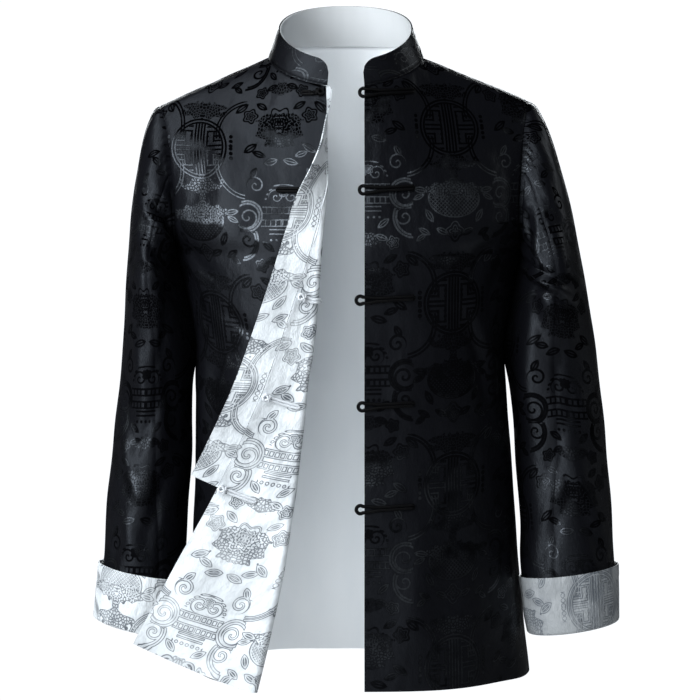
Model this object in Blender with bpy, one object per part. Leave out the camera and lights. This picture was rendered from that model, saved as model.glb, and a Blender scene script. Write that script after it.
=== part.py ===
"""A tang jacket, worn open, with the wearer's right front turned back like a lapel.

The tables and sizes are in millimetres and become metres where a mesh is made. +Z is up, the
front faces -Y and the wearer's left arm is at +X. The origin lies about midway between the two
points where the shoulder seams meet the collar. Every panel is a wall of cloth on a surface that
is worked out from the tables: a row v runs from the shoulders (0) to the hem (HEM_ROW).
"""
import math

import bmesh
import bpy
import numpy as np
from mathutils import Vector

MM = 0.001

# Driving dimensions
CLOTH = 1.2             # thickness of a wall of the doubled satin
LINING = 1.0            # thickness of a facing that shows
SEAM = 0.3              # gap between two pieces that are sewn together
FRONT_EDGE = 21.0       # the left front's free edge, from the centre
NECK_WIDTH = 88.5       # half width of the neckline
NECK_DEPTH = 70.0       # half depth of the neckline
NECK_MIDDLE = -5.0      # the neckline's middle, front to back
COLLAR_WIDTH = 78.0     # half width of the collar's top edge
COLLAR_DEPTH = 65.0     # half depth of the collar's top edge
COLLAR_CORNER = 15.0    # radius of the collar's two front corners
CUFF_DEPTH = 62.0       # height of a turned-back cuff
SLEEVE_END = 661.0      # the sleeve's end below the shoulders, along its middle
BICEP = 270.0           # level where the sleeve's cap ends
STRIP_END = 517.0       # level of the underlap's lower end, at the fifth frog
ROLL = 12.6             # cloth in the soft roll of the turned front
LIP = 3.0               # cloth beyond the roll where the front isn't turned yet
VENT_LIFT = 11.0        # how far the turned front draws its own side corner up
FROG_LEVELS = (48.0, 157.0, 279.5, 399.5, 515.5)
FROG_BAR = 56.0         # length of a loop's bar on the cloth
FROG_CORD = 3.2         # thickness of a frog's cord

HEM = 721.0             # level of the hem
HEM_ROW = 21            # the row of the hem
ARM_ROW = 10            # the row of the underarm
NECK_SHARE = 0.34       # share of a front's top edge that lies along the neckline
ROUNDING = 2.2          # squareness of the body's sections

LEFT, RIGHT = 1, -1     # the wearer's left is at +X
FRONT, BACK = -1, 1


# Finishes: base colour and roughness
FINISHES = {
    "satin_black": ((0.012, 0.012, 0.015), 0.38),
    "satin_white": ((0.80, 0.81, 0.83), 0.42),
    "cord_black": ((0.008, 0.008, 0.010), 0.45),
    "cord_white": ((0.78, 0.79, 0.81), 0.45),
}


class Table:
    """Rows of named sizes, read at any value of the first column along a smooth curve."""

    def __init__(self, names, rows):
        self.columns = dict(zip(names.split(), np.array(rows, float).T))
        self.knots = next(iter(self.columns.values()))

    def at(self, name, value):
        knots, sizes = self.knots, self.columns[name]
        spans = np.diff(knots)
        rates = np.diff(sizes) / spans
        slopes = np.zeros(len(knots))
        same = rates[1:] * rates[:-1] > 0
        slopes[1:-1][same] = 2 * rates[1:][same] * rates[:-1][same] / (rates[1:] + rates[:-1])[same]
        slopes[0], slopes[-1] = rates[0], rates[-1]
        value = np.clip(value, knots[0], knots[-1])
        i = np.clip(np.searchsorted(knots, value, side="right") - 1, 0, len(spans) - 1)
        s = (value - knots[i]) / spans[i]
        rise = sizes[i + 1] - sizes[i]
        bend = slopes[i] * spans[i] * s * (1 - s) ** 2 - slopes[i + 1] * spans[i] * (1 - s) * s ** 2
        return sizes[i] + rise * s * s * (3 - 2 * s) + bend


# The body: a row for each level. drop is the level below the origin, side_l and side_r the reach
# of the armhole and then of the side seam, seam_f and seam_b its place front to back on the two
# panels, front and back the depth at the centre, full how squarely a section fills its corner.
TORSO = Table("row drop side_l side_r seam_f seam_b front back full", (
    (0, 58, 216, 213, 8, 8, -80, 66, 1.0),
    (2, 63, 214, 211, -10, 25, -83, 71, 1.05),
    (4, 89, 208, 207, -26, 40, -93, 84, 1.15),
    (6, 137, 201, 203, -41, 54, -108, 98, 1.3),
    (8, 190, 197, 200, -45, 57, -119, 107, 1.5),
    (9, 213, 196, 201, -29, 40, -123, 109, 1.7),
    (10, 232, 197, 203, 8, 8, -125, 110, 1.9),
    (11, 262, 189, 196, 6, 6, -125, 108, 2.1),
    (13, 345, 175, 184.5, 2, 2, -123, 101, 2.2),
    (15, 440, 175, 191, 0, 0, -123, 99, 2.2),
    (17, 540, 178, 198, 0, 0, -128, 104, 2.2),
    (19, 640, 181, 207, 0, 0, -134, 112, 2.2),
    (21, HEM, 184, 215, 0, 0, -139, 118, 2.2),
))

# The turned front: a row for each level. turn is how far its edge has rolled over, fold the
# place of the roll left of the centre, edge_x, edge_y and edge_drop where the free edge then
# lies, and tilt how steeply the cross grain climbs there.
LAPEL = Table("drop turn fold edge_x edge_y edge_drop tilt", (
    (58, 0, 20.5, 22, -122, 162.5, 12),
    (93, 0, 20.5, 22, -122, 162.5, 12),
    (113, 25, 20.5, 22, -122, 162.5, 12),
    (137, 62, 20.5, 22, -122, 162.5, 12),
    (163, 108, 21.5, 22, -122, 162.5, 12),
    (190, 165, 24, 28.8, -128, 188.6, 15),
    (213, 180, 26.8, 35.4, -131, 210.6, 16),
    (279, 180, 31.5, 54.8, -134, 272.5, 18),
    (397, 180, 45.3, 94, -131, 383.3, 22),
    (517, 180, 59.5, 144.4, -122, 490.8, 26),
    (620, 180, 76.5, 194, -110, 582, 27.5),
    (HEM, 180, 99, 241, -100, 670, 28),
))

# The underlap along the right front's edge: how far it stands round from the wearer's left, and
# its width.
STRIP = Table("drop turn width", (
    (58, 77, 26), (63, 78, 28), (89, 92, 32), (113, 102, 33), (137, 122, 33),
    (163, 152, 33), (190, 170, 33), (215, 180, 33), (520, 180, 33),
))

# The sleeves below the cap: outer and inner reach from the centre, the middle and half depth
# front to back, and the tilt of the section as the arm swings out.
SLEEVES = {
    LEFT: Table("drop outer inner middle depth tilt", (
        (270, 279, 202.5, 0, 80, 0),
        (345, 292, 190, 3, 68, 2),
        (440, 302.5, 197, -2, 58, 4),
        (515, 308, 202, -13, 52, 6),
        (590, 313, 209, -27, 47, 8),
        (667, 316, 217, -38, 43, 9),
    )),
    RIGHT: Table("drop outer inner middle depth tilt", (
        (270, 255.5, 196, 0, 80, 0),
        (345, 261, 180.5, 3, 68, 2),
        (440, 270.5, 180, -2, 60, 5),
        (515, 277.5, 184, -13, 54, 8),
        (590, 283.5, 188, -27, 48, 11),
        (667, 293, 195, -38, 43, 13.5),
    )),
}

# The sleeve's two seams: degrees from its outer line, round the front.
SLEEVE_SEAMS = Table("drop front back", (
    (58, 82, 250), (165, 88, 250), (300, 92, 250), (425, 97, 250), (600, 117, 250), (667, 120, 250),
))

# The largest drape folds. On a panel: its place across (0 edge, 1 side), the level where it
# starts, its depth at the hem (minus stands out to the front) and its width.
DRAPES = {
    (LEFT, FRONT): ((0.30, 430, -5.0, 0.13), (0.58, 400, 5.0, 0.12), (0.80, 380, -4.0, 0.10)),
    (RIGHT, FRONT): ((0.45, 430, -4.0, 0.14), (0.72, 420, 4.0, 0.11)),
    (LEFT, BACK): ((0.32, 420, 5.0, 0.14), (0.62, 380, -5.0, 0.13)),
    (RIGHT, BACK): ((0.28, 420, 5.0, 0.14), (0.60, 390, -5.0, 0.13)),
}

# On a sleeve: level, degrees round, its slope in degrees of turn for each millimetre down,
# half length, half width and depth (minus is a trough).
SLEEVE_FOLDS = {
    LEFT: ((205, 60, -0.40, 45, 17, -4.0), (265, 105, -0.40, 50, 18, 3.5),
           (345, 60, 0.30, 60, 18, -3.0), (470, 75, -0.25, 70, 18, 3.0)),
    RIGHT: ((215, 60, -0.40, 45, 17, -3.5), (300, 110, -0.40, 50, 18, 3.0),
            (400, 50, 0.25, 60, 18, -3.0), (520, 80, -0.25, 60, 18, 3.0)),
}


def ease(value):
    """A smooth step from 0 to 1."""
    value = np.clip(value, 0.0, 1.0)
    return value * value * (3 - 2 * value)


def pack(x, y, z):
    """Coordinates as an array of points."""
    return np.stack(np.broadcast_arrays(x, y, z), axis=-1)


def unit(vectors):
    return vectors / np.maximum(np.linalg.norm(vectors, axis=-1, keepdims=True), 1e-9)


# ---------------------------------------------------------------- the body's surface

def neckline(side, turn):
    """A point of the neckline; turn goes from the centre front (0) to the centre back (pi)."""
    x = side * NECK_WIDTH * np.sin(turn)
    y = NECK_MIDDLE - NECK_DEPTH * np.cos(turn)
    z = -40 + 26 * (1 - np.cos(turn)) + 10 * np.sin(turn) ** 2
    return pack(x, y, z)


def section(side, face, v, c, inner):
    """A point of the plain body; c goes from the inner edge (0) to the armhole or side (1)."""
    reach = TORSO.at("side_l" if side == RIGHT else "side_r", v)
    start = np.arcsin(inner / reach)
    across = np.sin(start + (math.pi / 2 - start) * c)
    seam = TORSO.at("seam_f" if face == FRONT else "seam_b", v)
    middle = TORSO.at("front" if face == FRONT else "back", v)
    bulge = np.clip(1 - across ** ROUNDING, 0, 1) ** (1 / TORSO.at("full", v))
    return pack(side * reach * across, seam + (middle - seam) * bulge, -TORSO.at("drop", v))


def top_edge(side, face, c, inner):
    """A point of the panel's top edge: along the neckline and then the shoulder seam."""
    first = np.arcsin(inner / NECK_WIDTH)
    along_neck = np.clip(c / NECK_SHARE, 0, 1)
    if face == FRONT:
        turn = first + (math.pi / 2 - first) * along_neck
    else:
        turn = math.pi - (math.pi / 2) * along_neck
    neck = neckline(side, turn)
    along_seam = np.clip((c - NECK_SHARE) / (1 - NECK_SHARE), 0, 1)[..., None]
    neck_point = neckline(side, math.pi / 2)
    reach = TORSO.at("side_l" if side == RIGHT else "side_r", 0.0)
    shoulder = pack(side * reach, TORSO.at("seam_f", 0.0), -60.0 if side == RIGHT else -54.5)
    return neck + (shoulder - neck_point) * along_seam


def panel(side, face, v, c, inner):
    """A point of the draped body: the plain section, drawn up to the neckline and shoulder."""
    first_inner = inner(0.0)

    def lift(at):
        return top_edge(side, face, at, first_inner) - section(side, face, 0.0, at, first_inner)

    spread = 0.17 * np.sin(math.pi * np.clip(c, 0, 1))
    soft = sum(lift(np.clip(c + step * spread, 0, 1)) for step in (-1, -0.5, 0, 0.5, 1)) / 5
    near = 0.5 * (1 + np.cos(math.pi * np.clip(v / 4, 0, 1)))[..., None]
    far = 0.5 * (1 + np.cos(math.pi * np.clip(v / 9, 0, 1)))[..., None]
    points = section(side, face, v, c, inner(v)) + lift(c) * near + soft * (far - near)
    for place, level, depth, width in DRAPES[side, face]:
        fall = ease((TORSO.at("drop", v) - level) / (HEM - level))
        wave = depth * fall * np.exp(-((c - place) / width) ** 2) * ease((1 - c) * 8)
        points[..., 1] += wave
    return points


def centre_line(v):
    return 0.0 * v


def edge_line(v):
    return FRONT_EDGE + 0.0 * v


def vent(v, opening):
    """How much of a panel's width its side edge gives up below the top of the side vent."""
    return 1 - opening * ease((v - 17.3) / (HEM_ROW - 17.3))


def front_left(v, u):
    """u goes from the free edge (0) to the armhole or side (1)."""
    return panel(LEFT, FRONT, v, u * vent(v, 0.02), edge_line)


def back(v, u):
    """u goes from the wearer's right side (-1) to the left (1)."""
    c = np.abs(u) * vent(v, 0.015)
    halves = [panel(side, BACK, v, c, centre_line) for side in (LEFT, RIGHT)]
    return np.where((u >= 0)[..., None], halves[0], halves[1])


def roll_start(v):
    """How far left of the centre the right front starts to roll."""
    drop = TORSO.at("drop", v)
    turn = np.radians(np.maximum(LAPEL.at("turn", drop), 0.05))
    radius = ROLL / turn
    early = radius * np.sin(np.minimum(turn, math.pi / 2)) + LIP * np.cos(np.minimum(turn, math.pi / 2))
    return LAPEL.at("fold", drop) + early


BODY_COLUMNS, ROLL_COLUMNS, LAPEL_COLUMNS = 10, 6, 8
FREE_EDGE = BODY_COLUMNS + ROLL_COLUMNS + LAPEL_COLUMNS


def front_right(v, u):
    """u goes from the side (0) over the roll (BODY_COLUMNS on) to the free edge (FREE_EDGE)."""
    drop = TORSO.at("drop", v)
    c = (1 - np.clip(u / BODY_COLUMNS, 0, 1)) * vent(v, 0.24)
    flat = panel(RIGHT, FRONT, v, c, roll_start)
    flat[..., 2] += VENT_LIFT * ease((v - 17.3) / (HEM_ROW - 17.3)) * ease(c)
    start = panel(RIGHT, FRONT, v, 0 * u, roll_start)
    behind = panel(RIGHT, FRONT, v, 0 * u + 0.03, roll_start)
    along = unit(start - behind)
    out = unit(np.cross(along, (0.0, 0.0, 1.0)))
    turn = np.radians(np.maximum(LAPEL.at("turn", drop), 0.05))[..., None]
    radius = ROLL / turn
    bend = turn * np.clip((u - BODY_COLUMNS) / ROLL_COLUMNS, 0, 1)[..., None]
    rolled = start + along * radius * np.sin(bend) + out * radius * (1 - np.cos(bend))
    root = start + along * radius * np.sin(turn) + out * radius * (1 - np.cos(turn))
    way = along * np.cos(turn) + out * np.sin(turn)
    free = pack(-LAPEL.at("edge_x", drop), LAPEL.at("edge_y", drop), -LAPEL.at("edge_drop", drop))
    laid = ease((v - 7) / 2)[..., None]
    free = (root + way * LIP) * (1 - laid) + free * laid
    length = np.linalg.norm(free - root, axis=-1)
    knee = root + way * (length / 2)[..., None]
    climb = free[..., 2] - np.sin(np.radians(LAPEL.at("tilt", drop))) * length / 2 - root[..., 2]
    knee[..., 2] += climb * laid[..., 0]
    g = np.clip((u - BODY_COLUMNS - ROLL_COLUMNS) / LAPEL_COLUMNS, 0, 1)[..., None]
    lapel = root * (1 - g) ** 2 + knee * 2 * g * (1 - g) + free * g ** 2
    body_part = (u <= BODY_COLUMNS)[..., None]
    roll_part = (u <= BODY_COLUMNS + ROLL_COLUMNS)[..., None]
    return np.where(body_part, flat, np.where(roll_part, rolled, lapel))


def row_at(drop):
    """The row whose level is drop."""
    rows = np.linspace(0, HEM_ROW, 2101)
    return np.interp(drop, TORSO.at("drop", rows), rows)


def underlap(v, u):
    """u goes from the right front's edge (0) to the strip's free edge (1)."""
    drop = TORSO.at("drop", v)
    edge = front_right(v, 0 * v + FREE_EDGE)
    before = front_right(v, 0 * v + FREE_EDGE - 0.4)
    turn, tilt = np.radians(STRIP.at("turn", drop)), np.radians(LAPEL.at("tilt", drop))
    standing = pack(np.cos(turn), -np.sin(turn), 0 * turn)
    lying = pack(-np.cos(tilt), -0.12, np.sin(tilt))
    laid = ease((drop - 170) / 90)[..., None]
    way = unit(standing * (1 - laid) + lying * laid)
    apart = SEAM + (CLOTH / 2 + 0.3) * np.linalg.norm(np.cross(way, unit(edge - before)), axis=-1)
    reach = apart + u * STRIP.at("width", drop)
    return edge + way * reach[..., None]


# ---------------------------------------------------------------- the sleeves' surface

def armhole(side, turn):
    """A point of the armhole; turn goes from the shoulder over the front, in radians."""
    turn = np.mod(turn, 2 * math.pi)
    share = np.where(turn <= math.pi, turn, 2 * math.pi - turn) / math.pi
    rows = np.linspace(0, ARM_ROW, 81)
    halves = []
    for face in (FRONT, BACK):
        points = panel(side, face, rows, 0 * rows + 1.0, edge_line)
        steps = np.linalg.norm(np.diff(points, axis=0), axis=1)
        along = np.concatenate(([0], np.cumsum(steps))) / steps.sum()
        halves.append(np.stack([np.interp(share, along, points[:, k]) for k in range(3)], axis=-1))
    ring = np.where((turn <= math.pi)[..., None], halves[0], halves[1])
    ring[..., 0] += side * (SEAM + 1.4 * (1 - np.cos(turn)) / 2)
    return ring


def tube(side, drop, turn):
    """A point of the sleeve below its cap."""
    sizes = SLEEVES[side]
    outer, inner = sizes.at("outer", drop), sizes.at("inner", drop)
    tilt = np.radians(sizes.at("tilt", drop))
    across = (outer - inner) / 2 * np.cos(turn)
    x = (outer + inner) / 2 + across * np.cos(tilt)
    y = sizes.at("middle", drop) - sizes.at("depth", drop) * np.sin(turn)
    return pack(side * x, y, -drop + across * np.sin(tilt))


def sleeve(side, w, degrees):
    """A point of the sleeve; w goes over the cap (-1 to 0) and then down to its end (1)."""
    turn = np.radians(degrees)
    drop = BICEP + np.clip(w, 0, 1) * (SLEEVE_END - BICEP)
    below = tube(side, drop, turn)
    first, last = armhole(side, turn), tube(side, BICEP + 0 * turn, turn)
    span = np.linalg.norm(last - first, axis=-1, keepdims=True)
    leave = unit(pack(side * (0.58 + 0.42 * np.cos(turn)), -0.45 * np.sin(turn),
                      -0.45 - 0.25 * (1 - np.cos(turn))))
    arrive = unit(tube(side, BICEP + 6 + 0 * turn, turn) - last)
    t = np.clip(w + 1, 0, 1)[..., None]
    cap = (first * (1 + 2 * t) * (1 - t) ** 2 + last * t * t * (3 - 2 * t)
           + leave * span * 0.42 * t * (1 - t) ** 2 - arrive * span * 0.9 * (1 - t) * t * t)
    points = np.where((w <= 0)[..., None], cap, below)
    centre = (tube(side, drop, 0 * turn) + tube(side, drop, 0 * turn + math.pi)) / 2
    outward = points - centre
    outward[..., 2] = 0
    outward = unit(outward)
    level = -points[..., 2]
    for fold_level, place, slope, long, wide, depth in SLEEVE_FOLDS[side]:
        off = np.mod(degrees - place - slope * (level - fold_level) + 180, 360) - 180
        shape = np.exp(-(off / wide) ** 2 - ((level - fold_level) / long) ** 2)
        points = points + outward * (depth * shape * ease(w * 8 + 8))[..., None]
    return points


# ---------------------------------------------------------------- the collar's surface

def collar(arc, up):
    """A point of the stand collar; arc is -pi to pi from the centre back, up 0 to 1."""
    side = np.where(arc < 0, RIGHT, LEFT)
    turn = math.pi - np.abs(arc)
    height = 30 + 8.7 * (1 - np.cos(turn)) - 3.2 * np.sin(turn) ** 2
    from_end = (turn - np.arcsin(FRONT_EDGE / NECK_WIDTH)) * NECK_DEPTH * 1.1
    cut = COLLAR_CORNER - np.clip(from_end, 0, COLLAR_CORNER)
    height = height - COLLAR_CORNER + np.sqrt(COLLAR_CORNER ** 2 - cut ** 2)
    lean = up * height / 32
    width = NECK_WIDTH + (COLLAR_WIDTH - NECK_WIDTH) * lean
    depth = NECK_DEPTH + (COLLAR_DEPTH - NECK_DEPTH) * lean
    base = neckline(side, turn)
    x = side * width * np.sin(turn)
    y = NECK_MIDDLE - depth * np.cos(turn)
    lowest = CLOTH / 2 + SEAM
    return pack(x, y, base[..., 2] + lowest + (height - lowest) * up * 0.96)


# ---------------------------------------------------------------- making solids

def normals_of(surface, rows, columns, flip=1):
    """Unit normals of a surface on a grid of its two values."""
    step_v, step_u = 0.02, 0.001 * (columns.max() - columns.min())
    low_v, high_v = rows.min(), rows.max()
    low_u, high_u = columns.min(), columns.max()
    dv = surface(np.clip(rows + step_v, low_v, high_v), columns) \
        - surface(np.clip(rows - step_v, low_v, high_v), columns)
    du = surface(rows, np.clip(columns + step_u, low_u, high_u)) \
        - surface(rows, np.clip(columns - step_u, low_u, high_u))
    return unit(np.cross(unit(du), unit(dv))) * flip


def trimmed(points, distance, top=False, bottom=False, first=False, last=False):
    """The grid with the named edges drawn back by half a seam."""
    points = points.copy()
    if top:
        points[0] += unit(points[1] - points[0]) * distance
    if bottom:
        points[-1] += unit(points[-2] - points[-1]) * distance
    if first:
        points[:, 0] += unit(points[:, 1] - points[:, 0]) * distance
    if last:
        points[:, -1] += unit(points[:, -2] - points[:, -1]) * distance
    return points


def dyed(name, finish):
    """A piece's own material."""
    colour, roughness = FINISHES[finish]
    material = bpy.data.materials.new(f"{name}_{finish}")
    material.use_nodes = True
    shader = material.node_tree.nodes["Principled BSDF"]
    shader.inputs["Base Color"].default_value = (*colour, 1.0)
    shader.inputs["Roughness"].default_value = roughness
    shader.inputs["Metallic"].default_value = 0.0
    return material


def new_object(name, verts, faces, finish):
    mesh = bpy.data.meshes.new(name)
    mesh.from_pydata([Vector(point) * MM for point in verts], [], faces)
    shape = bmesh.new()
    shape.from_mesh(mesh)
    bmesh.ops.recalc_face_normals(shape, faces=shape.faces)
    shape.to_mesh(mesh)
    shape.free()
    mesh.shade_smooth()
    mesh.set_sharp_from_angle(angle=math.radians(50))
    mesh.materials.append(dyed(name, finish))
    piece = bpy.data.objects.new(name, mesh)
    bpy.context.scene.collection.objects.link(piece)
    return piece


def cloth(name, points, normals, inside, outside, finish):
    """A wall between two offsets of a grid, closed round its four edges."""
    rows, columns = points.shape[:2]
    outer = (points + normals * outside).reshape(-1, 3)
    inner = (points + normals * inside).reshape(-1, 3)
    verts = np.concatenate((outer, inner)).tolist()
    under = rows * columns
    faces = []
    for r in range(rows - 1):
        for c in range(columns - 1):
            a, b = r * columns + c, r * columns + c + 1
            d, e = a + columns, b + columns
            faces.append((a, b, e, d))
            faces.append((under + a, under + d, under + e, under + b))
    rim = list(range(columns))
    rim += [r * columns + columns - 1 for r in range(1, rows)]
    rim += [(rows - 1) * columns + c for c in range(columns - 2, -1, -1)]
    rim += [r * columns for r in range(rows - 2, 0, -1)]
    for a, b in zip(rim, rim[1:] + rim[:1]):
        faces.append((b, a, under + a, under + b))
    return new_object(name, verts, faces, finish)


def rings_round(name, rings, finish):
    """A solid whose sections are closed rings that come back to the first one."""
    count, sides = len(rings), len(rings[0])
    verts = [tuple(point) for ring in rings for point in ring]
    faces = []
    for r in range(count):
        for c in range(sides):
            a, b = r * sides + c, r * sides + (c + 1) % sides
            d, e = (r + 1) % count * sides + c, (r + 1) % count * sides + (c + 1) % sides
            faces.append((a, b, e, d))
    return new_object(name, verts, faces, finish)


def cord(name, centres, normals, widths, heights, sides, finish):
    """A cord that lies on cloth, with its own width and height at each point."""
    centres, normals = np.array(centres), np.array(normals)
    ahead = unit(np.gradient(centres, axis=0))
    across = unit(np.cross(ahead, normals))
    above = unit(np.cross(across, ahead))
    verts = []
    for point, b, n, wide, high in zip(centres, across, above, widths, heights):
        for k in range(sides):
            angle = 2 * math.pi * k / sides
            verts.append(point + b * wide / 2 * math.cos(angle) + n * high / 2 * math.sin(angle))
    faces = []
    for r in range(len(centres) - 1):
        for k in range(sides):
            a, b = r * sides + k, r * sides + (k + 1) % sides
            faces.append((a, b, b + sides, a + sides))
    faces.append(tuple(range(sides - 1, -1, -1)))
    faces.append(tuple(range(len(verts) - sides, len(verts))))
    return new_object(name, [tuple(v) for v in verts], faces, finish)


# ---------------------------------------------------------------- the panels

ROWS = np.linspace(0, HEM_ROW, HEM_ROW + 1)
HALF = CLOTH / 2


def grid(rows, columns):
    return np.meshgrid(rows, columns, indexing="ij")


def level_shoulder(normals, points, start):
    """Along the shoulder seam both panels turn their walls to the same direction."""
    ridge = unit(np.stack((-np.gradient(points[0, :, 2]), 0 * points[0, :, 0],
                           np.gradient(points[0, :, 0])), axis=-1))
    ridge *= np.sign(ridge[:, 2:3])
    normals[0, start] = ridge[start]
    return normals


def make_back():
    v, u = grid(ROWS, np.linspace(-1, 1, 25))
    points = back(v, u)
    normals = normals_of(back, v, u)
    normals = level_shoulder(normals, points, np.abs(u[0]) > NECK_SHARE)
    points = trimmed(points, SEAM / 2, top=True, first=True, last=True)
    cloth("back", points, normals, -HALF, HALF, "satin_black")


def make_front_left():
    v, u = grid(ROWS, np.linspace(0, 1, 13))
    points = front_left(v, u)
    normals = normals_of(front_left, v, u, -1)
    normals = level_shoulder(normals, points, u[0] > NECK_SHARE)
    points = trimmed(points, SEAM / 2, top=True, last=True)
    cloth("front_left", points, normals, -HALF, HALF, "satin_black")


def make_front_right():
    v, u = grid(ROWS, np.arange(FREE_EDGE + 1.0))
    points = front_right(v, u)
    normals = normals_of(front_right, v, u, -1)
    normals = level_shoulder(normals, points, 1 - u[0] / BODY_COLUMNS > NECK_SHARE)
    points = trimmed(points, SEAM / 2, top=True, first=True)
    cloth("front_right", points, normals, -HALF, HALF, "satin_black")


def make_lining():
    """The white face of the turned front, from just inside the roll to the free edge."""
    v, u = grid(ROWS[3:], np.arange(BODY_COLUMNS - 2.0, FREE_EDGE + 1))
    points = front_right(v, u)
    normals = normals_of(front_right, v, u, -1)
    points = trimmed(points, SEAM / 2, last=True)
    low = -(HALF + SEAM)
    cloth("lining_front_right", points, normals, low - LINING, low, "satin_white")


def make_underlap():
    last = row_at(STRIP_END)
    rows = np.concatenate(((0.35,), ROWS[1:int(last) + 1], (last,)))
    v, u = grid(rows, np.linspace(0, 1, 4))
    normals = normals_of(underlap, v, u, -1)
    cloth("underlap", underlap(v, u), normals, -HALF, HALF, "satin_white")


# ---------------------------------------------------------------- sleeves and cuffs

CUFF_TOP = 1 - CUFF_DEPTH / (SLEEVE_END - BICEP)
CUFF_ROWS = (CUFF_TOP, 0.5 * CUFF_TOP + 0.46, 0.96, 1.0)
SLEEVE_ROWS = np.concatenate((np.linspace(-1, 0, 9), np.linspace(0, CUFF_TOP, 10)[1:-1], CUFF_ROWS))
SLEEVE_PIECES = {"top": 13, "under": 11}
ELBOW_ROW = 10          # where each sleeve piece is built as two solids, above the elbow


def sleeve_degrees(piece, w, share):
    """Where a share of a sleeve piece's width lies, in degrees from the outer line."""
    drop = np.where(w < 0, 58 + (w + 1) * (BICEP - 58), BICEP + w * (SLEEVE_END - BICEP))
    front_seam, back_seam = SLEEVE_SEAMS.at("front", drop), SLEEVE_SEAMS.at("back", drop)
    if piece == "top":
        return back_seam - 360 + share * (front_seam + 360 - back_seam)
    return front_seam + share * (back_seam - front_seam)


def sleeve_normals(side, w, degrees):
    """Outward unit normals of the sleeve."""
    round_arm = sleeve(side, w, degrees + 1) - sleeve(side, w, degrees - 1)
    down = sleeve(side, np.minimum(w + 0.01, 1), degrees) \
        - sleeve(side, np.maximum(w - 0.01, -1), degrees)
    return unit(np.cross(unit(down), unit(round_arm))) * -side


def make_sleeve(side, word):
    """The top piece runs over the arm, the under piece below it, seam to seam."""
    for piece, columns in SLEEVE_PIECES.items():
        w, share = grid(SLEEVE_ROWS, np.linspace(0, 1, columns))
        degrees = sleeve_degrees(piece, w, share)
        points = sleeve(side, w, degrees)
        normals = sleeve_normals(side, w, degrees)
        points = trimmed(points, SEAM / 2, first=True, last=True)
        for part, rows in (("upper", slice(0, ELBOW_ROW + 1)), ("lower", slice(ELBOW_ROW, None))):
            half = trimmed(points[rows], SEAM / 2, top=part == "lower", bottom=part == "upper")
            cloth(f"sleeve_{word}_{piece}_{part}", half, normals[rows], -HALF, HALF, "satin_black")


def make_cuff(side, word):
    """The sleeve's end turned up outside: a band, a rolled edge and a short return inside."""
    top, middle, low, end = CUFF_ROWS
    profile = (
        (top, 4.0, 0), (middle, 3.5, 0), (low, 3.2, 0), (end, 3.0, 0), (end, 2.0, 2.4),
        (end, 0.3, 3.4), (end, -1.5, 2.4), (end, -2.3, 0), (low, -2.3, 0), (low, -0.95, 0),
        (end, -0.95, 0.2), (end, 0.0, 0.9), (end, 0.95, 0.2), (low, 1.2, 0), (middle, 1.6, 0),
        (top, 2.4, 0),
    )
    rings = []
    for place, out, below in profile:
        shares = {piece: np.linspace(0, 1, count)[:-1] for piece, count in SLEEVE_PIECES.items()}
        degrees = np.concatenate([sleeve_degrees(piece, place + 0 * share, share)
                                  for piece, share in shares.items()])
        w = place + 0 * degrees
        down = unit(sleeve(side, w, degrees) - sleeve(side, w - 0.02, degrees))
        rings.append(sleeve(side, w, degrees) + sleeve_normals(side, w, degrees) * out + down * below)
    rings_round(f"cuff_{word}", rings, "satin_white")


# ---------------------------------------------------------------- collar

def make_collar():
    end = math.pi - math.asin(FRONT_EDGE / NECK_WIDTH)
    near = end - np.array((0, 2.0, 5.0, 9.0, 15.0)) / (NECK_DEPTH * 1.1)
    arcs = np.concatenate((-near, np.linspace(-near[-1], near[-1], 20)[1:-1], near[::-1]))
    arc, up = grid(arcs, np.linspace(0, 1, 4))
    points = collar(arc, up)
    normals = normals_of(collar, arc, up, -1)
    cloth("collar", points, normals, -HALF, HALF, "satin_black")
    low = -(HALF + SEAM)
    cloth("collar_lining", points, normals, low - LINING, low, "satin_white")


# ---------------------------------------------------------------- frogs

def on_surface(surface, x, z, column, last, height):
    """Points of a surface that show at x and z from the front, moved out, with its normals."""
    row, column = row_at(-z), column + 0 * x
    step = 0.01
    for _ in range(8):
        here = surface(row, column)
        by_row = (surface(row + step, column) - here) / step
        by_column = (surface(row, column + step) - here) / step
        miss_x, miss_z = x - here[:, 0], z - here[:, 2]
        size = by_row[:, 0] * by_column[:, 2] - by_column[:, 0] * by_row[:, 2]
        size = np.where(np.abs(size) < 1e-3, np.inf, size)
        move_row = (miss_x * by_column[:, 2] - by_column[:, 0] * miss_z) / size
        move_column = (by_row[:, 0] * miss_z - miss_x * by_row[:, 2]) / size
        row = np.clip(row + np.clip(move_row, -1, 1), 0.05, HEM_ROW - 0.05)
        column = np.clip(column + np.clip(move_column, -0.2 * last, 0.2 * last), 0, last)
    normals = unit(np.cross(by_row, by_column))
    normals = normals * -np.sign(normals[:, 1:2])
    here = surface(row, column)
    here[:, 0], here[:, 2] = x, z
    return here + normals * np.reshape(height, (-1, 1)), normals


def make_loop(index, level):
    """Two cords side by side on the left front, with an eye past its edge."""
    lay = HALF + SEAM + FROG_CORD / 2
    apart, eye = FROG_CORD / 2 + 0.25, 4.3
    out = np.linspace(FROG_BAR, 3, 6)
    ring = np.radians(np.linspace(38, 322, 9))
    p = np.concatenate((out, -5.2 + eye * np.cos(ring), out[::-1]))
    q = np.concatenate((0 * out + apart, eye * np.sin(ring), 0 * out - apart))
    inside = np.maximum(p, 1.0)
    centres, normals = on_surface(front_left, FRONT_EDGE + inside, q - level + 0.05 * inside,
                                  0.1, 1, lay + 0 * p)
    centres[:, 0] += p - inside
    sizes = np.full(len(p), FROG_CORD)
    cord(f"loop_{index}", centres, normals, sizes, sizes, 6, "cord_black")


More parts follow.
